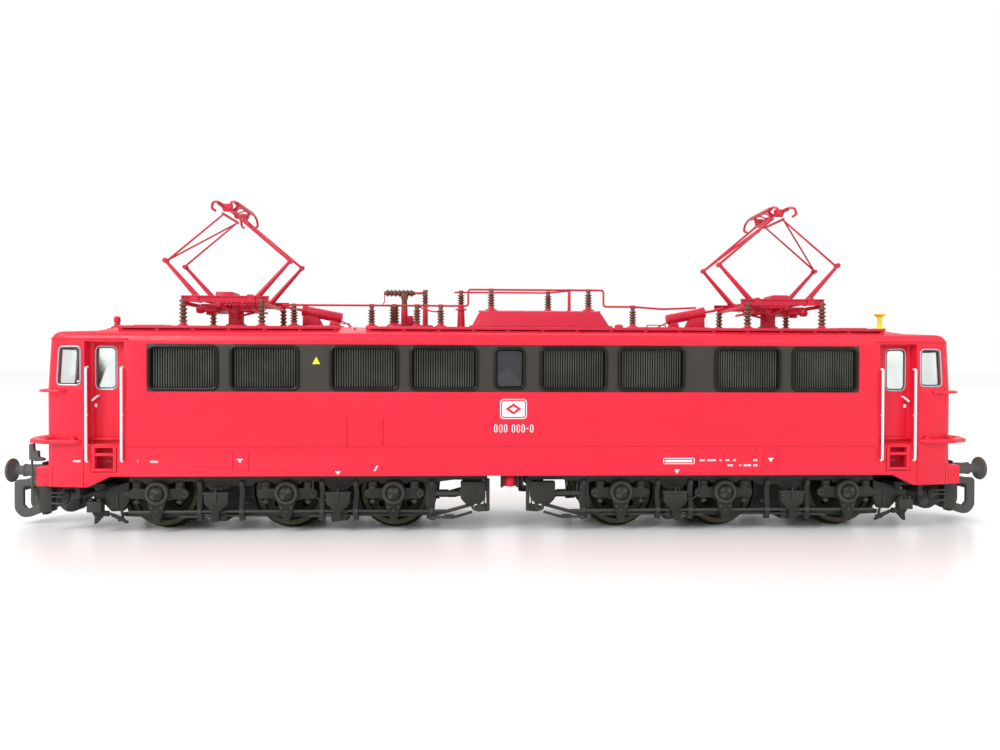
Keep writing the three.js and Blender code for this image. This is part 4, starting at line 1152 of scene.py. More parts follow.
# ---- Pantographs ----
class LOCO_OT_pantographs(LocomotiveOperator, bpy.types.Operator):
    """Both diamond pantographs: base frames, arms and collector heads"""

    bl_idname = "loco.pantographs"
    bl_label = "Pantographs"

    def build(self):
        self.base()
        for half, out in (("outer", 1), ("inner", -1)):
            self.lower(half, out)
            self.upper(half, out)
        self.head()

    def base(self):
        x = PANTOGRAPH_X
        feet = [((x + e * 6.1, y, 32.0), 4.35) for e in (-1, 1) for y in (-7.3, 7.3)]
        stacks, flares = insulators(feet)
        at_both_ends(stacks, "pantograph_insulators_{end}", BODY, "insulator")
        red = [flares]
        for y in (-7, 7):
            rail = extruded([(y - 0.34, 35.9), (y + 0.34, 35.9), (y + 0.34, 36.08), (y + 0.1, 36.14),
                             (y + 0.1, 36.66),
                             (y + 0.34, 36.72), (y + 0.34, 36.9), (y - 0.34, 36.9), (y - 0.34, 36.72),
                             (y - 0.1, 36.66),
                             (y - 0.1, 36.14), (y - 0.34, 36.08)], "x", x - 7.1, x + 6.5)
            red.append(rail)
            red += [block((x + e * 6.1 - 0.6, x + e * 6.1 + 0.6), (y - 0.5, y + 0.5), (35.85, 36.2), 0.08)
                    for e in (-1, 1)]
            red += [turned([(0, -0.4), (0.62, -0.38), (0.66, -0.2), (0.66, 0.2), (0.62, 0.38), (0, 0.4)],
                           "y",
                           (x + e * BASE_HALF, y * 0.985, PIVOT_Z), 16) for e in (-1, 1)]
        red += [block((x + e * 6 - 0.28, x + e * 6 + 0.28), (-7.1, 7.1), (35.42, 35.98), 0.06)
                for e in (-1, 1)]
        red.append(turned([(0, 0), (1.7, 0), (1.65, 0.25), (1.25, 0.45), (1.22, 3.3), (1.4, 3.5),
                           (0, 3.5)], "z", (x, 0, DECK), 24))
        red.append(block((x - 6.1, x + 6.1), (-0.9, 0.9), (35.35, 35.85), 0.08))
        red.append(block((x, x + 2.8), (-2.1, 2.1), (35.8, 38.0), 0.18))
        red.append(block((x + 2.2, x + 4.6), (-3.2, 3.2), (34.6, 35.6), 0.15))
        red.append(block((x - 3.4, x - 1.5), (-3.0, 3.0), (34.7, 35.6), 0.15))
        red.append(extruded([(x - 0.4, 34.2), (x + 2.2, 35.6), (x + 1.4, 35.6), (x - 1.0, 34.6)],
                            "y", -2.4, -2.0, 0.05))
        red.append(block((x + 0.3, x + 2.5), (-2.3, 2.3), (36.5, 37.5), 0.12))
        red += [rod((x - 2.6, -1.9, 37.1), (x - 2.6, 1.9, 37.1), 0.5, sides=16),
                block((x - 3.0, x - 0.8), (-1.6, 1.6), (36.0, 36.9), 0.1)]
        red += [turned([(0, 0), (0.55, 0.1), (0.7, 0.6), (0.55, 1.1), (0, 1.2)],
                       "z", (x + 4.9, -3.0, 34.3), 16)]
        for y in (-3.6, 3.6):
            red.append(self.spring((x - 4.2, y, 35.7), (x + 1.4, y, 35.7)))
            red.append(rod((x - 5.8, y, 35.7), (x + 4.6, y, 35.7), 0.16))
            red.append(block((x + 1.3, x + 2.0), (y - 0.45, y + 0.45), (35.3, 36.1), 0.08))
        red += [wire([(x - 3.4, -1.6, 34.6), (x - 1.2, -1.3, 34.1), (x - 0.6, -0.9, 33.6)], 0.2)]
        red += [turned([(0, 0), (0.62, 0), (0.62, 0.9), (0.5, 1.0), (0, 1.0)], "z", (x + 3.8, -1.5, 34.2),
                       16)]
        red += [rod((x - 3.9, -4.6, 34.9), (x - 3.9, 4.6, 34.9), 0.2)]
        at_both_ends(joined(red), "pantograph_frame_{end}", BODY, "roof",
                     ["pantograph_base_{end}"])

    def spring(self, start, end, r=0.36, turns=9):
        a, b = Vector(start), Vector(end)
        points = []
        for i in range(turns * 8 + 1):
            t = i / (turns * 8)
            angle = 2 * math.pi * i / 8
            points.append(a.lerp(b, t) + Vector((0, math.cos(angle) * r, math.sin(angle) * r)))
        return wire(points, 0.09, resolution=0)

    def lower(self, half, out):
        foot = PANTOGRAPH_X + out * BASE_HALF
        knee = PANTOGRAPH_X + out * KNEE[0]
        shapes = [rod((foot, -6.5, PIVOT_Z), (foot, 6.5, PIVOT_Z), 0.32, sides=16)]
        for y in (-1, 1):
            shapes.append(rod((foot, y * 4.8, PIVOT_Z), (knee, y * 4.6, KNEE[1]), 0.46, 0.26, 14))
            shapes.append(rod((foot, y * 4.45, PIVOT_Z), (foot, y * 5.2, PIVOT_Z), 0.58, sides=16))
            shapes.append(turned([(0, -0.36), (0.36, -0.36), (0.42, -0.2), (0.42, 0.2), (0.36, 0.36),
                                  (0, 0.38)], "y",
                                 (knee, y * 4.6, KNEE[1]), 14, y))
        name = f"pantograph_lower_{half}"
        at_both_ends(joined(shapes), name + "_arms_{end}", f"pantograph_{half}_lower_{{end}}",
                     "roof", [name + "_{end}"])

    def upper(self, half, out):
        knee = PANTOGRAPH_X + out * KNEE[0]
        top = PANTOGRAPH_X + out * TOP_HALF
        r = 0.14 if half == "outer" else 0.19
        shapes = [rod((top, -4.2, TOP_Z), (top, 4.2, TOP_Z), 0.22, sides=14)]
        for y in (-1, 1):
            shapes.append(rod((knee, y * 3.9, KNEE[1]), (top, y * 3.8, TOP_Z), r + 0.03, r, 12))
            shapes.append(turned([(0, -0.24), (0.3, -0.24), (0.36, 0), (0.3, 0.24), (0, 0.24)],
                                 "y", (knee, y * 3.9, KNEE[1]), 14))
        shapes.append(rod((knee - out * 0.35, 3.8, KNEE[1] + 0.28), (top + out * 0.4, -3.7, TOP_Z - 0.34),
                          r, sides=10))
        right = joined(shapes)
        for end, shape in (("left", twin(right, (-1, -1, 1))), ("right", right)):
            name = f"pantograph_upper_{half}"
            finished(shape, f"{name}_arms_{end}", f"pantograph_{half}_upper_{end}",
                     "roof", [f"{name}_{end}"])

    def head(self):
        x = PANTOGRAPH_X
        shapes = []
        for s in (-1, 1):
            sx = x + s * 1.4
            section = [(sx - 0.3, -4.8), (sx + 0.3, -4.8), (sx + 0.3, 4.8), (sx - 0.3, 4.8)]
            shapes.append(extruded(section, "z", STRIP_Z - 0.5, STRIP_Z, 0.1))
            for y in (-1, 1):
                path = [(sx, y * 4.6, STRIP_Z - 0.2), (sx, y * 5.8, STRIP_Z - 0.2),
                        (sx, y * 7.6, STRIP_Z - 0.75),
                        (sx, y * 8.2, STRIP_Z - 1.8), (sx - s * 0.5, y * 7.7, STRIP_Z - 2.1)]
                shapes.append(wire(bent(path, 0.9, 4), 0.2))
        for y in (-1, 1):
            yoke = [(x - 1.45, STRIP_Z - 0.2), (x - 1.2, STRIP_Z - 0.2), (x - 0.6, TOP_Z + 0.95),
                    (x + 0.6, TOP_Z + 0.95),
                    (x + 1.2, STRIP_Z - 0.2), (x + 1.45, STRIP_Z - 0.2), (x + 1.1, TOP_Z + 0.55),
                    (x - 1.1, TOP_Z + 0.55)]
            shapes.append(extruded(yoke, "y", y * 3.2 - 0.3, y * 3.2 + 0.3, 0.05))
            shapes.append(block((x - 0.7, x + 0.7), (y * 4.3 - 0.35, y * 4.3 + 0.35),
                                (TOP_Z + 0.35, STRIP_Z - 0.3), 0.12))
        shapes.append(rod((x, -3.3, TOP_Z + 0.8), (x, 3.3, TOP_Z + 0.8), 0.2, sides=12))
        shapes += [wire([(x - 1.4, y, STRIP_Z - 0.3), (x, y, TOP_Z + 1.1), (x + 1.4, y, STRIP_Z - 0.3)],
                        0.12)
                   for y in (-1.2, 1.2)]
        at_both_ends(joined(shapes), "collector_{end}", "collector_{end}", "roof",
                     ["collector_head_{end}"])


# ---- Running gear ----
class LOCO_OT_bogies(LocomotiveOperator, bpy.types.Operator):
    """Bogie side frames with axleboxes, springs, brake gear and sand hoppers"""

    bl_idname = "loco.bogies"
    bl_label = "Bogies"

    def build(self):
        shapes = [self.frame_beam()]
        for x in AXLES:
            shapes += self.axlebox(x)
        for x in HOPPERS:
            shapes += self.hopper(x)
        shapes += self.brake_gear() + self.inner_end() + self.outer_end()
        side = mirrored(joined(shapes), y=True)
        keeper = block((13.7, 58.1), (-3.6, 3.6), (1.62, 2.2), 0.15)
        screws = [turned([(0, 0), (0.7, 0), (0.6, 0.2), (0, 0.25)], "z", (x, 0, 1.62), 14, -1)
                  for x in (16.5, 30, 41, 56)]
        bars = [block((x - 1.25, x + 1.25), (-9.2, 9.2), (1.65, 2.15), 0.1) for x in HOPPERS]
        wipers = [wire(bent([(x + 3, 3.5, 2.3), (x + 3, 4.6, 3.0), (x + 1.2, 5.0, 5.4)], 0.3), 0.1)
                  for x in AXLES]
        at_both_ends(joined([side, keeper, *screws, *bars, *wipers]),
                     "bogie_detail_{end}", "bogie_{end}",
                     "gear", ["bogie_frame_{end}"])

    def frame_beam(self):
        upper = [(3.2, 8.1), (8.5, 8.1), (12.5, 7.6), (14.0, 7.9)]
        for x in reversed(AXLES):
            upper += [(x - 2.4, 7.9), (x - 2.1, 7.55), (x + 2.1, 7.55), (x + 2.4, 7.9)]
            if x != AXLES[0]:
                upper += [(x + 4.6, 7.9), (x + 5.4, 7.25), (x + 10.8, 7.25), (x + 11.6, 7.9)]
        upper += [(58.4, 7.9), (58.4, 8.75), (3.2, 8.75)]
        beam = extruded(upper, "y", 8.9, 9.75, 0.08)
        lip = block((3.2, 58.4), (8.8, 10.0), (8.5, 8.78), 0.06)
        rivets = in_row(turned([(0, 0), (0.16, 0), (0.12, 0.1), (0, 0.13)], "y", (5, 9.75, 8.25), 8),
                        22, (2.5, 0, 0))
        return joined([beam, lip, rivets])

    def axlebox(self, x):
        z = AXLE_Z
        pear = []
        for i in range(17):
            turn = math.radians(-40 + 260 * i / 16)
            pear.append((x + 1.85 * math.cos(turn), z + 0.15 + 1.85 * math.sin(turn)))
        pear += [(x - 0.95, 3.3), (x - 0.55, 2.2), (x - 0.5, 1.55), (x + 0.5, 1.55), (x + 0.55, 2.2),
                 (x + 0.95, 3.3)]
        cover = extruded(pear, "y", 9.0, 10.5, 0.14)
        raised = turned([(1.25, 0), (1.75, 0), (1.7, 0.14), (1.3, 0.18), (1.25, 0)],
                        "y", (x, 10.5, z + 0.1), 28)
        dome = turned([(0, -0.2), (1.12, -0.2), (1.12, 0.2), (1.02, 0.5), (0.75, 0.76), (0.36, 0.9),
                       (0, 0.93)], "y",
                      (x, 10.5, z + 0.1), 28)
        bolts = [turned([(0, 0), (0.22, 0), (0.2, 0.14), (0, 0.2)], "y", (x + u, 10.5, v), 10)
                 for u, v in ((-0.75, 4.0), (0.75, 4.0), (0, 3.4))]
        shapes = [cover, raised, dome, *bolts]
        arm = [(x - 4.7, 5.75), (x - 4.1, 5.2), (x - 2.2, 5.2), (x - 1.6, 5.0), (x + 1.6, 5.0),
               (x + 2.2, 5.3), (x + 4.0, 5.3),
               (x + 4.5, 5.7), (x + 4.5, 6.4), (x + 4.0, 6.8), (x + 1.6, 6.9), (x - 1.6, 6.9),
               (x - 4.1, 6.9), (x - 4.7, 6.4)]
        shapes.append(extruded(arm, "y", 9.35, 10.05, 0.1))
        for u in (-3.2, 3.3):
            coil = []
            for i in range(6 * 8 + 1):
                turn = 2 * math.pi * i / 8
                coil.append((x + u + 0.62 * math.cos(turn), 9.45 + 0.5 * math.sin(turn), 6.85 + i * 0.0235))
            shapes.append(wire(coil, 0.13, resolution=0))
            shapes.append(rod((x + u, 9.5, 4.4), (x + u, 9.5, 8.2), 0.24, sides=10))
            shapes.append(turned([(0, 0), (0.52, 0), (0.5, 0.3), (0.3, 0.42), (0, 0.45)],
                                 "z", (x + u, 9.5, 4.95), 12, -1))
            shapes.append(turned([(0, 0), (0.7, 0), (0.66, 0.18), (0, 0.22)], "z", (x + u, 9.5, 6.85), 14))
        shapes.append(turned([(0.28, -0.1), (0.55, -0.1), (0.5, 0.12), (0.28, 0.12), (0.28, -0.1)],
                             "y", (x - 4.15, 10.05, 6.05), 14))
        return shapes

    def hopper(self, x):
        outline = [(x - 1.85, 6.2), (x - 1.85, 4.7), (x - 0.5, 3.3), (x - 0.35, 2.1), (x + 0.35, 2.1),
                   (x + 0.5, 3.3),
                   (x + 1.85, 4.7), (x + 1.85, 6.2)]
        body = extruded(outline, "y", 9.4, 10.8, 0.12)
        lid = block((x - 2.0, x + 2.0), (9.3, 10.95), (6.1, 6.4), 0.08)
        rib = block((x - 0.13, x + 0.13), (10.7, 10.98), (5.0, 6.9), 0.05)
        handle = wire(bent([(x - 0.7, 10.2, 6.3), (x - 0.7, 10.2, 6.9), (x + 0.7, 10.2, 6.9),
                            (x + 0.7, 10.2, 6.3)], 0.25), 0.1)
        web = extruded([(x - 2.6, 7.9), (x - 1.3, 6.6), (x - 1.3, 2.0), (x + 1.3, 2.0), (x + 1.3, 6.6),
                        (x + 2.6, 7.9)], "y",
                       9.1, 9.6, 0.06)
        pipe = wire(bent([(x, 10.1, 2.4), (x, 10.0, 1.9), (x + 1.2, 8.6, 1.5)], 0.4), 0.18)
        bolts = [turned([(0, 0), (0.2, 0), (0.16, 0.14), (0, 0.16)], "y", (x + u, 10.8, 5.6), 8)
                 for u in (-1.4, 1.4)]
        return [body, lid, rib, handle, web, pipe, *bolts]

    def brake_gear(self):
        shapes = [wire([(9.8, 10.0, 3.3), (34, 10.0, 3.35), (58.4, 10.0, 3.3)], 0.22)]
        for x in (11.9, 23.7, 28.9, 41.2, 47.6):
            hanger = [(x - 0.35, 8.1), (x - 0.55, 6.2), (x - 0.35, 3.4), (x - 0.5, 1.9), (x + 0.35, 1.9),
                      (x + 0.45, 3.4),
                      (x + 0.25, 6.2), (x + 0.45, 8.1)]
            shapes.append(extruded(hanger, "y", 9.4, 10.1, 0.08))
            shapes.append(turned([(0, -0.2), (0.42, -0.2), (0.42, 0.15), (0.3, 0.28), (0, 0.3)],
                                 "y", (x, 10.1, 3.4), 12))
            shapes.append(turned([(0, -0.1), (0.32, -0.1), (0.3, 0.15), (0, 0.2)], "y", (x, 10.1, 7.6), 12))
        for x in AXLES:
            for s in (-1, 1):
                shoe = []
                for i in range(7):
                    turn = math.radians(-34 + 44 * i / 6)
                    shoe.append((x + s * 5.75 * math.cos(turn), AXLE_Z + 5.75 * math.sin(turn)))
                for i in range(7):
                    turn = math.radians(10 - 44 * i / 6)
                    shoe.append((x + s * 6.5 * math.cos(turn), AXLE_Z + 6.5 * math.sin(turn)))
                shapes.append(extruded(shoe, "y", 6.0, 7.1, 0.05))
                shapes.append(rod((x + s * 6.3, 6.6, 4.6), (x + s * 6.3, 9.6, 4.6), 0.2, sides=8))
            bar = [(x - 5.8, 3.0), (x - 5.6, 2.4), (x - 1.6, 2.2), (x + 1.6, 2.2), (x + 5.6, 2.4),
                   (x + 5.8, 3.0)]
            shapes.append(extruded(bar, "y", 8.1, 8.6, 0.06))
        pulls = [((14.6, 2.6), (31.0, 2.5)), ((37.4, 2.6), (50.8, 2.4))]
        shapes += [wire([(a[0], 9.5, a[1]), ((a[0] + b[0]) / 2, 9.5, a[1]), (b[0], 9.5, b[1])], 0.18)
                   for a, b in pulls]
        shapes.append(wire(bent([(30.2, 10.2, 8.3), (30.2, 10.3, 6.0), (29.2, 10.3, 5.1),
                                 (27.9, 10.3, 5.1)], 0.6), 0.12))
        return shapes

    def inner_end(self):
        box = extruded([(3.5, 7.9), (3.5, 5.3), (4.3, 4.4), (6.6, 4.4), (7.4, 5.3), (7.4, 7.9)],
                       "y", 8.95, 10.5, 0.15)
        rib = block((5.3, 5.55), (10.4, 10.62), (5.6, 7.2), 0.05)
        eye = turned([(0.35, -0.3), (0.8, -0.3), (0.75, 0.3), (0.35, 0.3), (0.35, -0.3)],
                     "y", (5.0, 9.7, 4.0), 18)
        tie = rod((5.4, 9.7, 4.3), (12.0, 9.6, 2.5), 0.28, sides=10)
        strut = rod((7.3, 9.6, 6.0), (11.8, 9.6, 6.0), 0.42, sides=14)
        post = extruded([(11.6, 8.1), (11.3, 5.0), (11.6, 2.0), (12.7, 2.0), (12.9, 5.0), (12.7, 8.1)],
                        "y", 9.0, 9.7, 0.08)
        low = wire(bent([(12.0, 10.1, 2.3), (8.2, 10.1, 2.35), (5.6, 9.9, 3.1)], 0.8), 0.22)
        turnbuckle = block((8.4, 10.0), (9.75, 10.35), (2.1, 2.75), 0.12)
        plates = [extruded([(2.85, 8.3), (2.85, 3.3), (3.35, 3.3), (3.45, 8.3)], "y", 9.3, 10.1, 0.06),
                  extruded([(3.4, 4.4), (3.0, 3.2), (4.8, 3.1), (5.3, 4.0)], "y", 9.4, 9.9, 0.06)]
        end_rod = rod((3.7, 10.0, 3.4), (3.7, 10.0, 8.2), 0.12, sides=8)
        return [box, rib, eye, tie, strut, post, low, turnbuckle, *plates, end_rod]

    def outer_end(self):
        """Guard plate, box and link bar at the bogie's outer end. They swivel with it."""
        plate = [(58.5, 7.9), (58.5, 5.0), (59.3, 3.4), (61.2, 3.3), (62.2, 4.4), (62.2, 6.4), (61.4, 7.0)]
        casing = extruded(plate, "y", 8.7, 9.6, 0.15)
        rib = block((60.1, 60.35), (9.5, 9.8), (3.8, 6.1), 0.06)
        box = block((62.3, 64.5), (9.2, 10.6), (3.35, 5.0), 0.1)
        tabs = [block((x, x + 0.55), (9.5, 10.3), (4.9, 5.4), 0.08) for x in (62.5, 63.8)]
        link_bar = extruded([(61.4, 4.2), (64.0, 4.4), (64.1, 6.3), (62.0, 6.6), (61.4, 6.4)],
                            "y", 8.3, 9.2, 0.1)
        bar = block((56.8, 59.2), (9.2, 9.9), (5.75, 6.4), 0.08)
        pipe = wire(bent([(59.6, 9.7, 3.6), (59.4, 9.5, 2.4), (60.8, 8.2, 1.6), (60.6, 6.6, 1.6)], 0.8),
                    0.2)
        guard = extruded([(64.2, 3.45), (61.6, 3.4), (61.5, 2.6), (62.3, 2.7), (63.4, 1.45), (63.7, 1.5),
                          (63.6, 2.6)], "y", 9.2, 9.9, 0.08)
        lever = extruded([(61.2, 3.3), (60.9, 2.7), (58.6, 1.55), (58.3, 1.8), (59.6, 2.7)],
                         "y", 9.9, 10.3, 0.07)
        return [casing, rib, box, *tabs, link_bar, bar, pipe, guard, lever]


class LOCO_OT_wheels(LocomotiveOperator, bpy.types.Operator):
    """Twelve flanged wheels with dished discs and bright treads"""

    bl_idname = "loco.wheels"
    bl_label = "Wheels"

    def build(self):
        s = sizes()
        t, f = s.tread_radius, s.flange_radius
        rim = [(t - 0.9, 0.15), (f - 0.25, 0.0), (f - 0.04, 0.12), (f, 0.3), (f - 0.12, 0.5),
               (t + 0.12, 0.72), (t, 0.86),
               (t - 0.06, 2.1), (t - 0.14, 2.2), (t - 0.85, 2.2), (t - 0.95, 2.0), (t - 0.9, 0.15)]
        disc = [(0.78, 0.0), (1.7, 0.0), (2.0, 0.45), (t - 1.1, 0.5), (t - 0.8, 0.3), (t - 0.8, 1.9),
                (t - 1.15, 1.72),
                (2.1, 1.5), (1.75, 2.15), (0.78, 2.2), (0.78, 0.0)]
        for i, x in enumerate(AXLES, 1):
            for side, sign in SIDES.items():
                at = (x, sign * 5.1, AXLE_Z)
                tread = painted(turned(rim, "y", at, 48, sign), finish_named("tread"))
                holes = [
                    rod((x + 3.1 * math.cos(a), sign * 4.5, AXLE_Z + 3.1 * math.sin(a)),
                        (x + 3.1 * math.cos(a), sign * 8.0, AXLE_Z + 3.1 * math.sin(a)), 0.5, sides=12)
                    for a in [math.pi / 4 + k * math.pi / 2 for k in range(4)]
                ]
                web = painted(carve(turned(disc, "y", at, 48, sign), joined(holes)), finish_named("wheel"))
                shape = joined([web, tread])
                at_both_ends(shape, f"wheel_disc_{i}_{side}_{{end}}", f"wheelset_{i}_{{end}}",
                             None,
                             [f"wheel_{i}_{side}_{{end}}"], 40)


class LOCO_OT_ends(LocomotiveOperator, bpy.types.Operator):
    """Buffers, loop couplings, brake pipes and the gear under each cab"""

    bl_idname = "loco.ends"
    bl_label = "Ends"

    def build(self):
        x, y, z = BUFFER
        profile = [(0, 0), (1.2, 0), (1.2, 0.3), (0.95, 0.4), (0.92, 3.3), (1.0, 3.4), (1.0, 3.7),
                   (0.75, 3.8), (0.72, 4.9),
                   (1.0, 5.2), (1.83, 5.45), (1.88, 5.65), (1.78, 5.84), (1.2, 5.91), (0, 5.93)]
        for side, sign in SIDES.items():
            buffer = turned(profile, "x", (x, sign * y, z), 28)
            plate = block((71.7, 71.95), (sign * y - 1.75, sign * y + 1.75), (z - 1.6, z + 1.45), 0.08)
            at_both_ends(joined([buffer, plate]), f"buffer_{side}_head_{{end}}", BODY,
                         "black",
                         [f"buffer_{side}_{{end}}"])
        self.coupling()
        self.under_cab()
        self.pipes()

    def coupling(self):
        """Loop of flat bar on a flat shank, with its hook inside."""
        cheeks = []
        for s in (-1, 1):
            corners = [(73.3, 5.4), (73.3, 7.3), (79.75, 7.3), (79.75, 2.3), (78.6, 1.15), (77.4, 1.15),
                       (72.8, 2.85), (72.8, 4.2), (73.3, 5.4)]
            smooth = bent([(u, 0, v) for u, v in corners], 0.7, 3)[:-1]
            cheek = extruded([(p.x, p.z) for p in smooth], "y", s * 2.35 - 0.33, s * 2.35 + 0.33)
            hole = rounded((76.75, 5.0), (3.0, 2.4), 0.4)
            low = [(75.25, 5.2), (78.25, 5.2), (78.25, 3.2), (77.7, 2.55), (75.25, 3.4)]
            carve(cheek, extruded(hole, "y", -4, 4))
            carve(cheek, extruded(low, "y", -4, 4))
            cheeks.append(round_edges(cheek, 0.18, 3, 25))
        bars = [
            block((78.8, 79.75), (-2.6, 2.6), (5.25, 7.0), 0.25),
            block((77.0, 78.6), (-2.6, 2.6), (1.4, 2.05), 0.15),
            block((73.4, 74.9), (-2.6, 2.6), (5.0, 6.6), 0.15),
            block((COUPLING_PIVOT_X, 74.8), (-1.05, 1.05), (5.25, 6.25), 0.12),
            extruded([(74.6, 5.9), (77.5, 5.9), (77.5, 4.4), (76.8, 4.4), (76.4, 5.1), (74.6, 5.1)],
                     "y", -0.5, 0.5, 0.1),
            turned([(0.7, 5.2), (1.6, 5.2), (1.6, 6.28), (0.7, 6.28), (0.7, 5.2)],
                   "z", (COUPLING_PIVOT_X, 0, 0), 20),
        ]
        at_both_ends(joined(cheeks + bars), "coupling_loop_{end}", "loop_coupling_{end}",
                     "black",
                     ["coupling_{end}"])

    def under_cab(self):
        """Reservoirs with their straps and brackets, and the carriers under each cab."""
        at = (67.9, 4.9, 4.9)
        reservoir = turned([(0, 0), (1.1, 0.08), (1.6, 0.4), (1.8, 0.9), (1.8, 3.6), (1.6, 4.0),
                            (1.1, 4.3), (0, 4.4)], "y", at, 28)
        straps = [turned([(1.78, h), (1.86, h), (1.86, h + 0.35), (1.78, h + 0.35), (1.78, h)], "y", at, 28)
                  for h in (1.1, 2.9)]
        hanger = block((67.2, 68.6), (6.0, 8.6), (6.3, 7.3), 0.1)
        carrier_arm = block((66.0, 66.8), (8.3, 9.3), (5.3, 7.3), 0.12)
        pocket = block((70.3, 72.3), (7.4, 9.3), (3.2, 7.5), 0.25)
        claw = block((71.1, 72.0), (7.6, 9.0), (2.75, 3.4), 0.15)
        stirrup = wire(bent([(70.4, 9.35, 6.2), (67.7, 9.4, 6.2), (67.8, 9.4, 5.0), (68.6, 9.4, 4.5),
                             (70.4, 9.35, 4.6)], 0.5), 0.17)
        bar = wire([(70.4, 9.5, 5.6), (69, 9.5, 5.6), (68.0, 9.5, 5.55)], 0.13)
        parts = [reservoir, *straps, hanger, carrier_arm, pocket, claw, stirrup, bar]
        shapes = mirrored(joined(parts), y=True)
        carrier = block((62.7, 70.3), (-8.4, 8.4), (6.95, 7.42), 0.08)
        bolster = block((62.5, 64.6), (-4.6, 4.6), (4.3, 7.1), 0.15)
        at_both_ends(joined([shapes, carrier, bolster]), "under_cab_{end}", BODY, "gear")

    def pipes(self):
        """Brake hoses beside the coupling, and a standing rod with its hook at one corner of each end."""
        hoses = []
        for y in (-5.5, 5.5):
            hoses.append(wire(bent([(71.3, y, 8.3), (72.6, y, 8.2), (73.0, y, 6.0), (72.4, y * 0.92, 4.2)],
                                   0.8, 6), 0.22))
            hoses.append(turned([(0, 0), (0.34, 0), (0.34, 0.6), (0, 0.62)], "z", (72.4, y * 0.92, 3.8),
                                12))
        standing = wire([(73.1, -9.6, 13.7), (73.1, -9.6, 9.0), (73.0, -9.6, 4.6)], 0.18)
        outline = [(73.45, 11.4), (73.45, 13.8), (72.75, 13.85), (72.7, 12.8), (72.0, 12.7), (72.0, 11.8),
                   (71.2, 11.6), (71.2, 11.2), (72.4, 11.1)]
        hook = extruded(outline, "y", -9.9, -9.2, 0.1)
        hook_eye = wire([(71.6, -9.6, 8.6), (72.4, -9.6, 8.6), (73.1, -9.6, 8.6)], 0.14)
        right = joined([*hoses, twin(standing, (1, -1, 1)), twin(hook, (1, -1, 1)),
                        twin(hook_eye, (1, -1, 1))])
        left = twin(right, (-1, -1, 1))
        for shape in (standing, hook, hook_eye):
            bpy.data.objects.remove(shape)
        finished(right, "end_pipes_right", BODY, "black")
        finished(left, "end_pipes_left", BODY, "black")


class LOCO_OT_underframe(LocomotiveOperator, bpy.types.Operator):
    """Finishes for the chassis, motor and shafts, and the small gear between the bogies"""

    bl_idname = "loco.underframe"
    bl_label = "Underframe"

    def build(self):
        finishes = {"chassis_frame": "gear", "circuit_board": "board", "motor": "steel",
                    "motor_shaft": "brass"}
        for end in ENDS:
            finishes.update({f"cardan_shaft_{end}": "black", f"worm_{end}": "brass",
                             f"gearbox_{end}": "gear"})
            finishes.update({f"axle_{i}_{end}": "steel" for i in (1, 2, 3)})
        for name, key in finishes.items():
            painted(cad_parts[name], finish_named(key))
        knob = turned([(0, 0), (0.4, 0.05), (0.68, 0.4), (0.76, 0.95), (0.66, 1.5), (0.35, 1.85),
                       (0, 1.92)], "z", (0.3, -10.4, 7.1), 24)
        back = block((-0.75, 1.3), (-9.9, -9.4), (7.1, 9.2), 0.08)
        finished(joined([knob, back]), "mid_valve", BODY, "body")
        bracket = [
            block((-1.0, 1.6), (-10.9, -9.4), (8.95, 9.3), 0.08),
            block((-1.15, -0.75), (-10.6, -9.4), (7.0, 9.2), 0.06),
            block((1.3, 1.7), (-10.6, -9.4), (7.0, 9.2), 0.06),
            wire([(2.1, -10.2, 9.2), (2.15, -10.2, 7.8), (2.4, -10.2, 7.0)], 0.17),
        ]
        sill = mirrored(block((-56.5, 56.5), (10.9, 11.35), (8.95, 9.6), 0.06), y=True)
        finished(joined([*bracket, sill]), "mid_bracket", BODY, "gear")


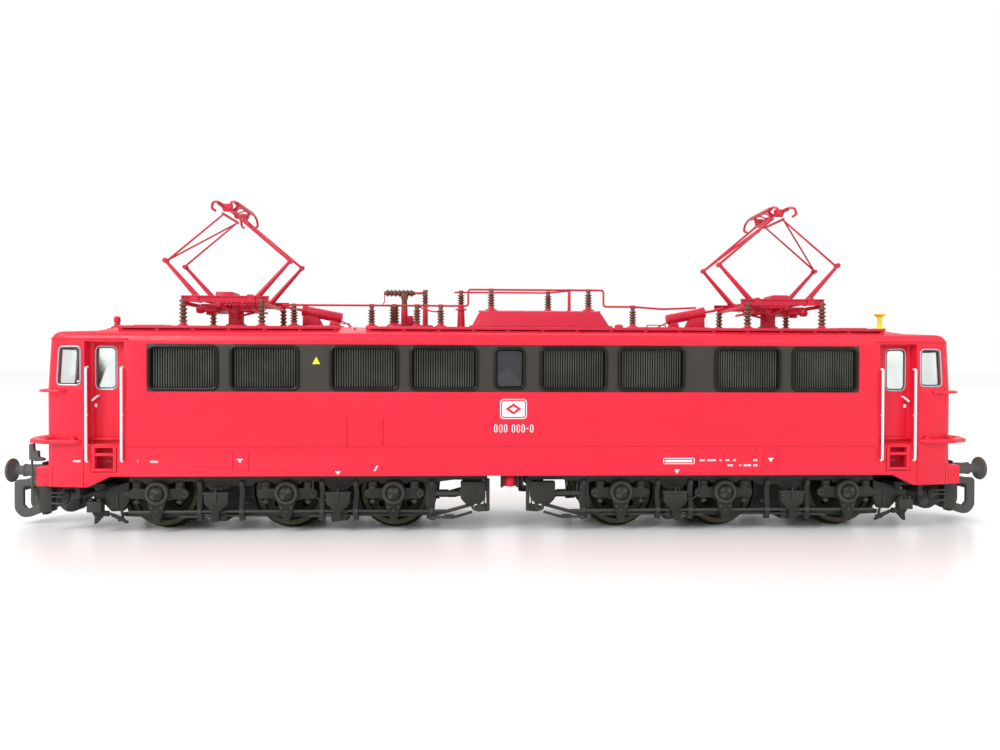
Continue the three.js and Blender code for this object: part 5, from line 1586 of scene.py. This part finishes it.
# ---- Stage ----
class LOCO_OT_stage(bpy.types.Operator):
    """Pale floor, soft studio lights and the camera"""

    bl_idname = "loco.stage"
    bl_label = "Stage"

    def execute(self, context):
        only()
        bpy.ops.mesh.primitive_plane_add(size=6)
        floor = bpy.context.active_object
        floor.name = "studio_floor"
        in_edit(floor, lambda: bpy.ops.mesh.subdivide(number_cuts=3))
        painted(floor, self.floor_finish())
        world = bpy.data.worlds.get("studio_world") or bpy.data.worlds.new("studio_world")
        world.use_nodes = True
        background = world.node_tree.nodes["Background"]
        background.inputs["Color"].default_value = (1.0, 1.0, 1.0, 1)
        background.inputs["Strength"].default_value = 1.0
        context.scene.world = world
        context.scene.view_settings.view_transform = "Standard"
        for lamp in LAMPS:
            self.light(*lamp)
        self.camera()
        return {"FINISHED"}

    def floor_finish(self):
        material, tree = new_material("studio_floor_finish")
        if tree is None:
            return material
        shader = tree.nodes["Principled BSDF"]
        coords = node(tree, "ShaderNodeTexCoord").outputs["Object"]
        base = bpy.context.scene.locomotive_colours.floor
        tint = mixed(tree, noise(tree, coords, 6), [c * 0.99 for c in base], base)
        link(tree, tint, shader.inputs["Base Color"])
        shader.inputs["Roughness"].default_value = 0.28
        return material

    def light(self, name, at, size, power):
        bpy.ops.object.light_add(type="AREA", location=at)
        lamp = bpy.context.active_object
        lamp.name = name
        lamp.data.size = size
        lamp.data.energy = power
        lamp.rotation_euler = (Vector((0, 0, 0.02)) - Vector(at)).to_track_quat("-Z", "Y").to_euler()

    def camera(self):
        yaw, pitch, roll = CAMERA_YAW_PITCH_ROLL
        forward = Vector((-math.sin(yaw) * math.cos(pitch), math.cos(yaw) * math.cos(pitch),
                          math.sin(pitch)))
        right = Vector((math.cos(yaw), math.sin(yaw), 0))
        up = right.cross(forward)
        tilted_right = right * math.cos(roll) + up * math.sin(roll)
        tilted_up = up * math.cos(roll) - right * math.sin(roll)
        place = Matrix((tilted_right, tilted_up, -forward)).transposed().to_4x4()
        place.translation = CAMERA_PLACE
        bpy.ops.object.camera_add()
        camera = bpy.context.active_object
        camera.name = "camera"
        camera.matrix_world = place
        camera.data.sensor_width = 36
        camera.data.lens = CAMERA_LENS
        camera.data.clip_start = 0.002
        camera.data.clip_end = 20
        bpy.context.scene.camera = camera


BUILD_ORDER = [
    LOCO_OT_body, LOCO_OT_band, LOCO_OT_cabs, LOCO_OT_doors, LOCO_OT_rails, LOCO_OT_markings,
    LOCO_OT_walkways,
    LOCO_OT_conductor, LOCO_OT_lowering_gear, LOCO_OT_pantographs, LOCO_OT_bogies, LOCO_OT_wheels,
    LOCO_OT_ends,
    LOCO_OT_underframe, LOCO_OT_stage,
]


class LOCO_PT_sidebar(bpy.types.Panel):
    bl_idname = "LOCO_PT_sidebar"
    bl_label = "Electric Locomotive"
    bl_space_type = "VIEW_3D"
    bl_region_type = "UI"
    bl_category = "Locomotive"

    def draw(self, context):
        layout = self.layout
        for group in (context.scene.locomotive_sizes, context.scene.locomotive_colours):
            box = layout.box()
            for key in group.__annotations__:
                box.prop(group, key)
        for operator in BUILD_ORDER:
            layout.operator(operator.bl_idname)


CLASSES = [LocomotiveSizes, LocomotiveColours, *BUILD_ORDER, LOCO_PT_sidebar]


def register():
    for cls in CLASSES:
        bpy.utils.register_class(cls)
    bpy.types.Scene.locomotive_sizes = bpy.props.PointerProperty(type=LocomotiveSizes)
    bpy.types.Scene.locomotive_colours = bpy.props.PointerProperty(type=LocomotiveColours)


def unregister():
    del bpy.types.Scene.locomotive_colours
    del bpy.types.Scene.locomotive_sizes
    for cls in reversed(CLASSES):
        bpy.utils.unregister_class(cls)


def main():
    register()
    for operator in BUILD_ORDER:
        group, name = operator.bl_idname.split(".")
        getattr(getattr(bpy.ops, group), name)()


if __name__ == "__main__":
    main()
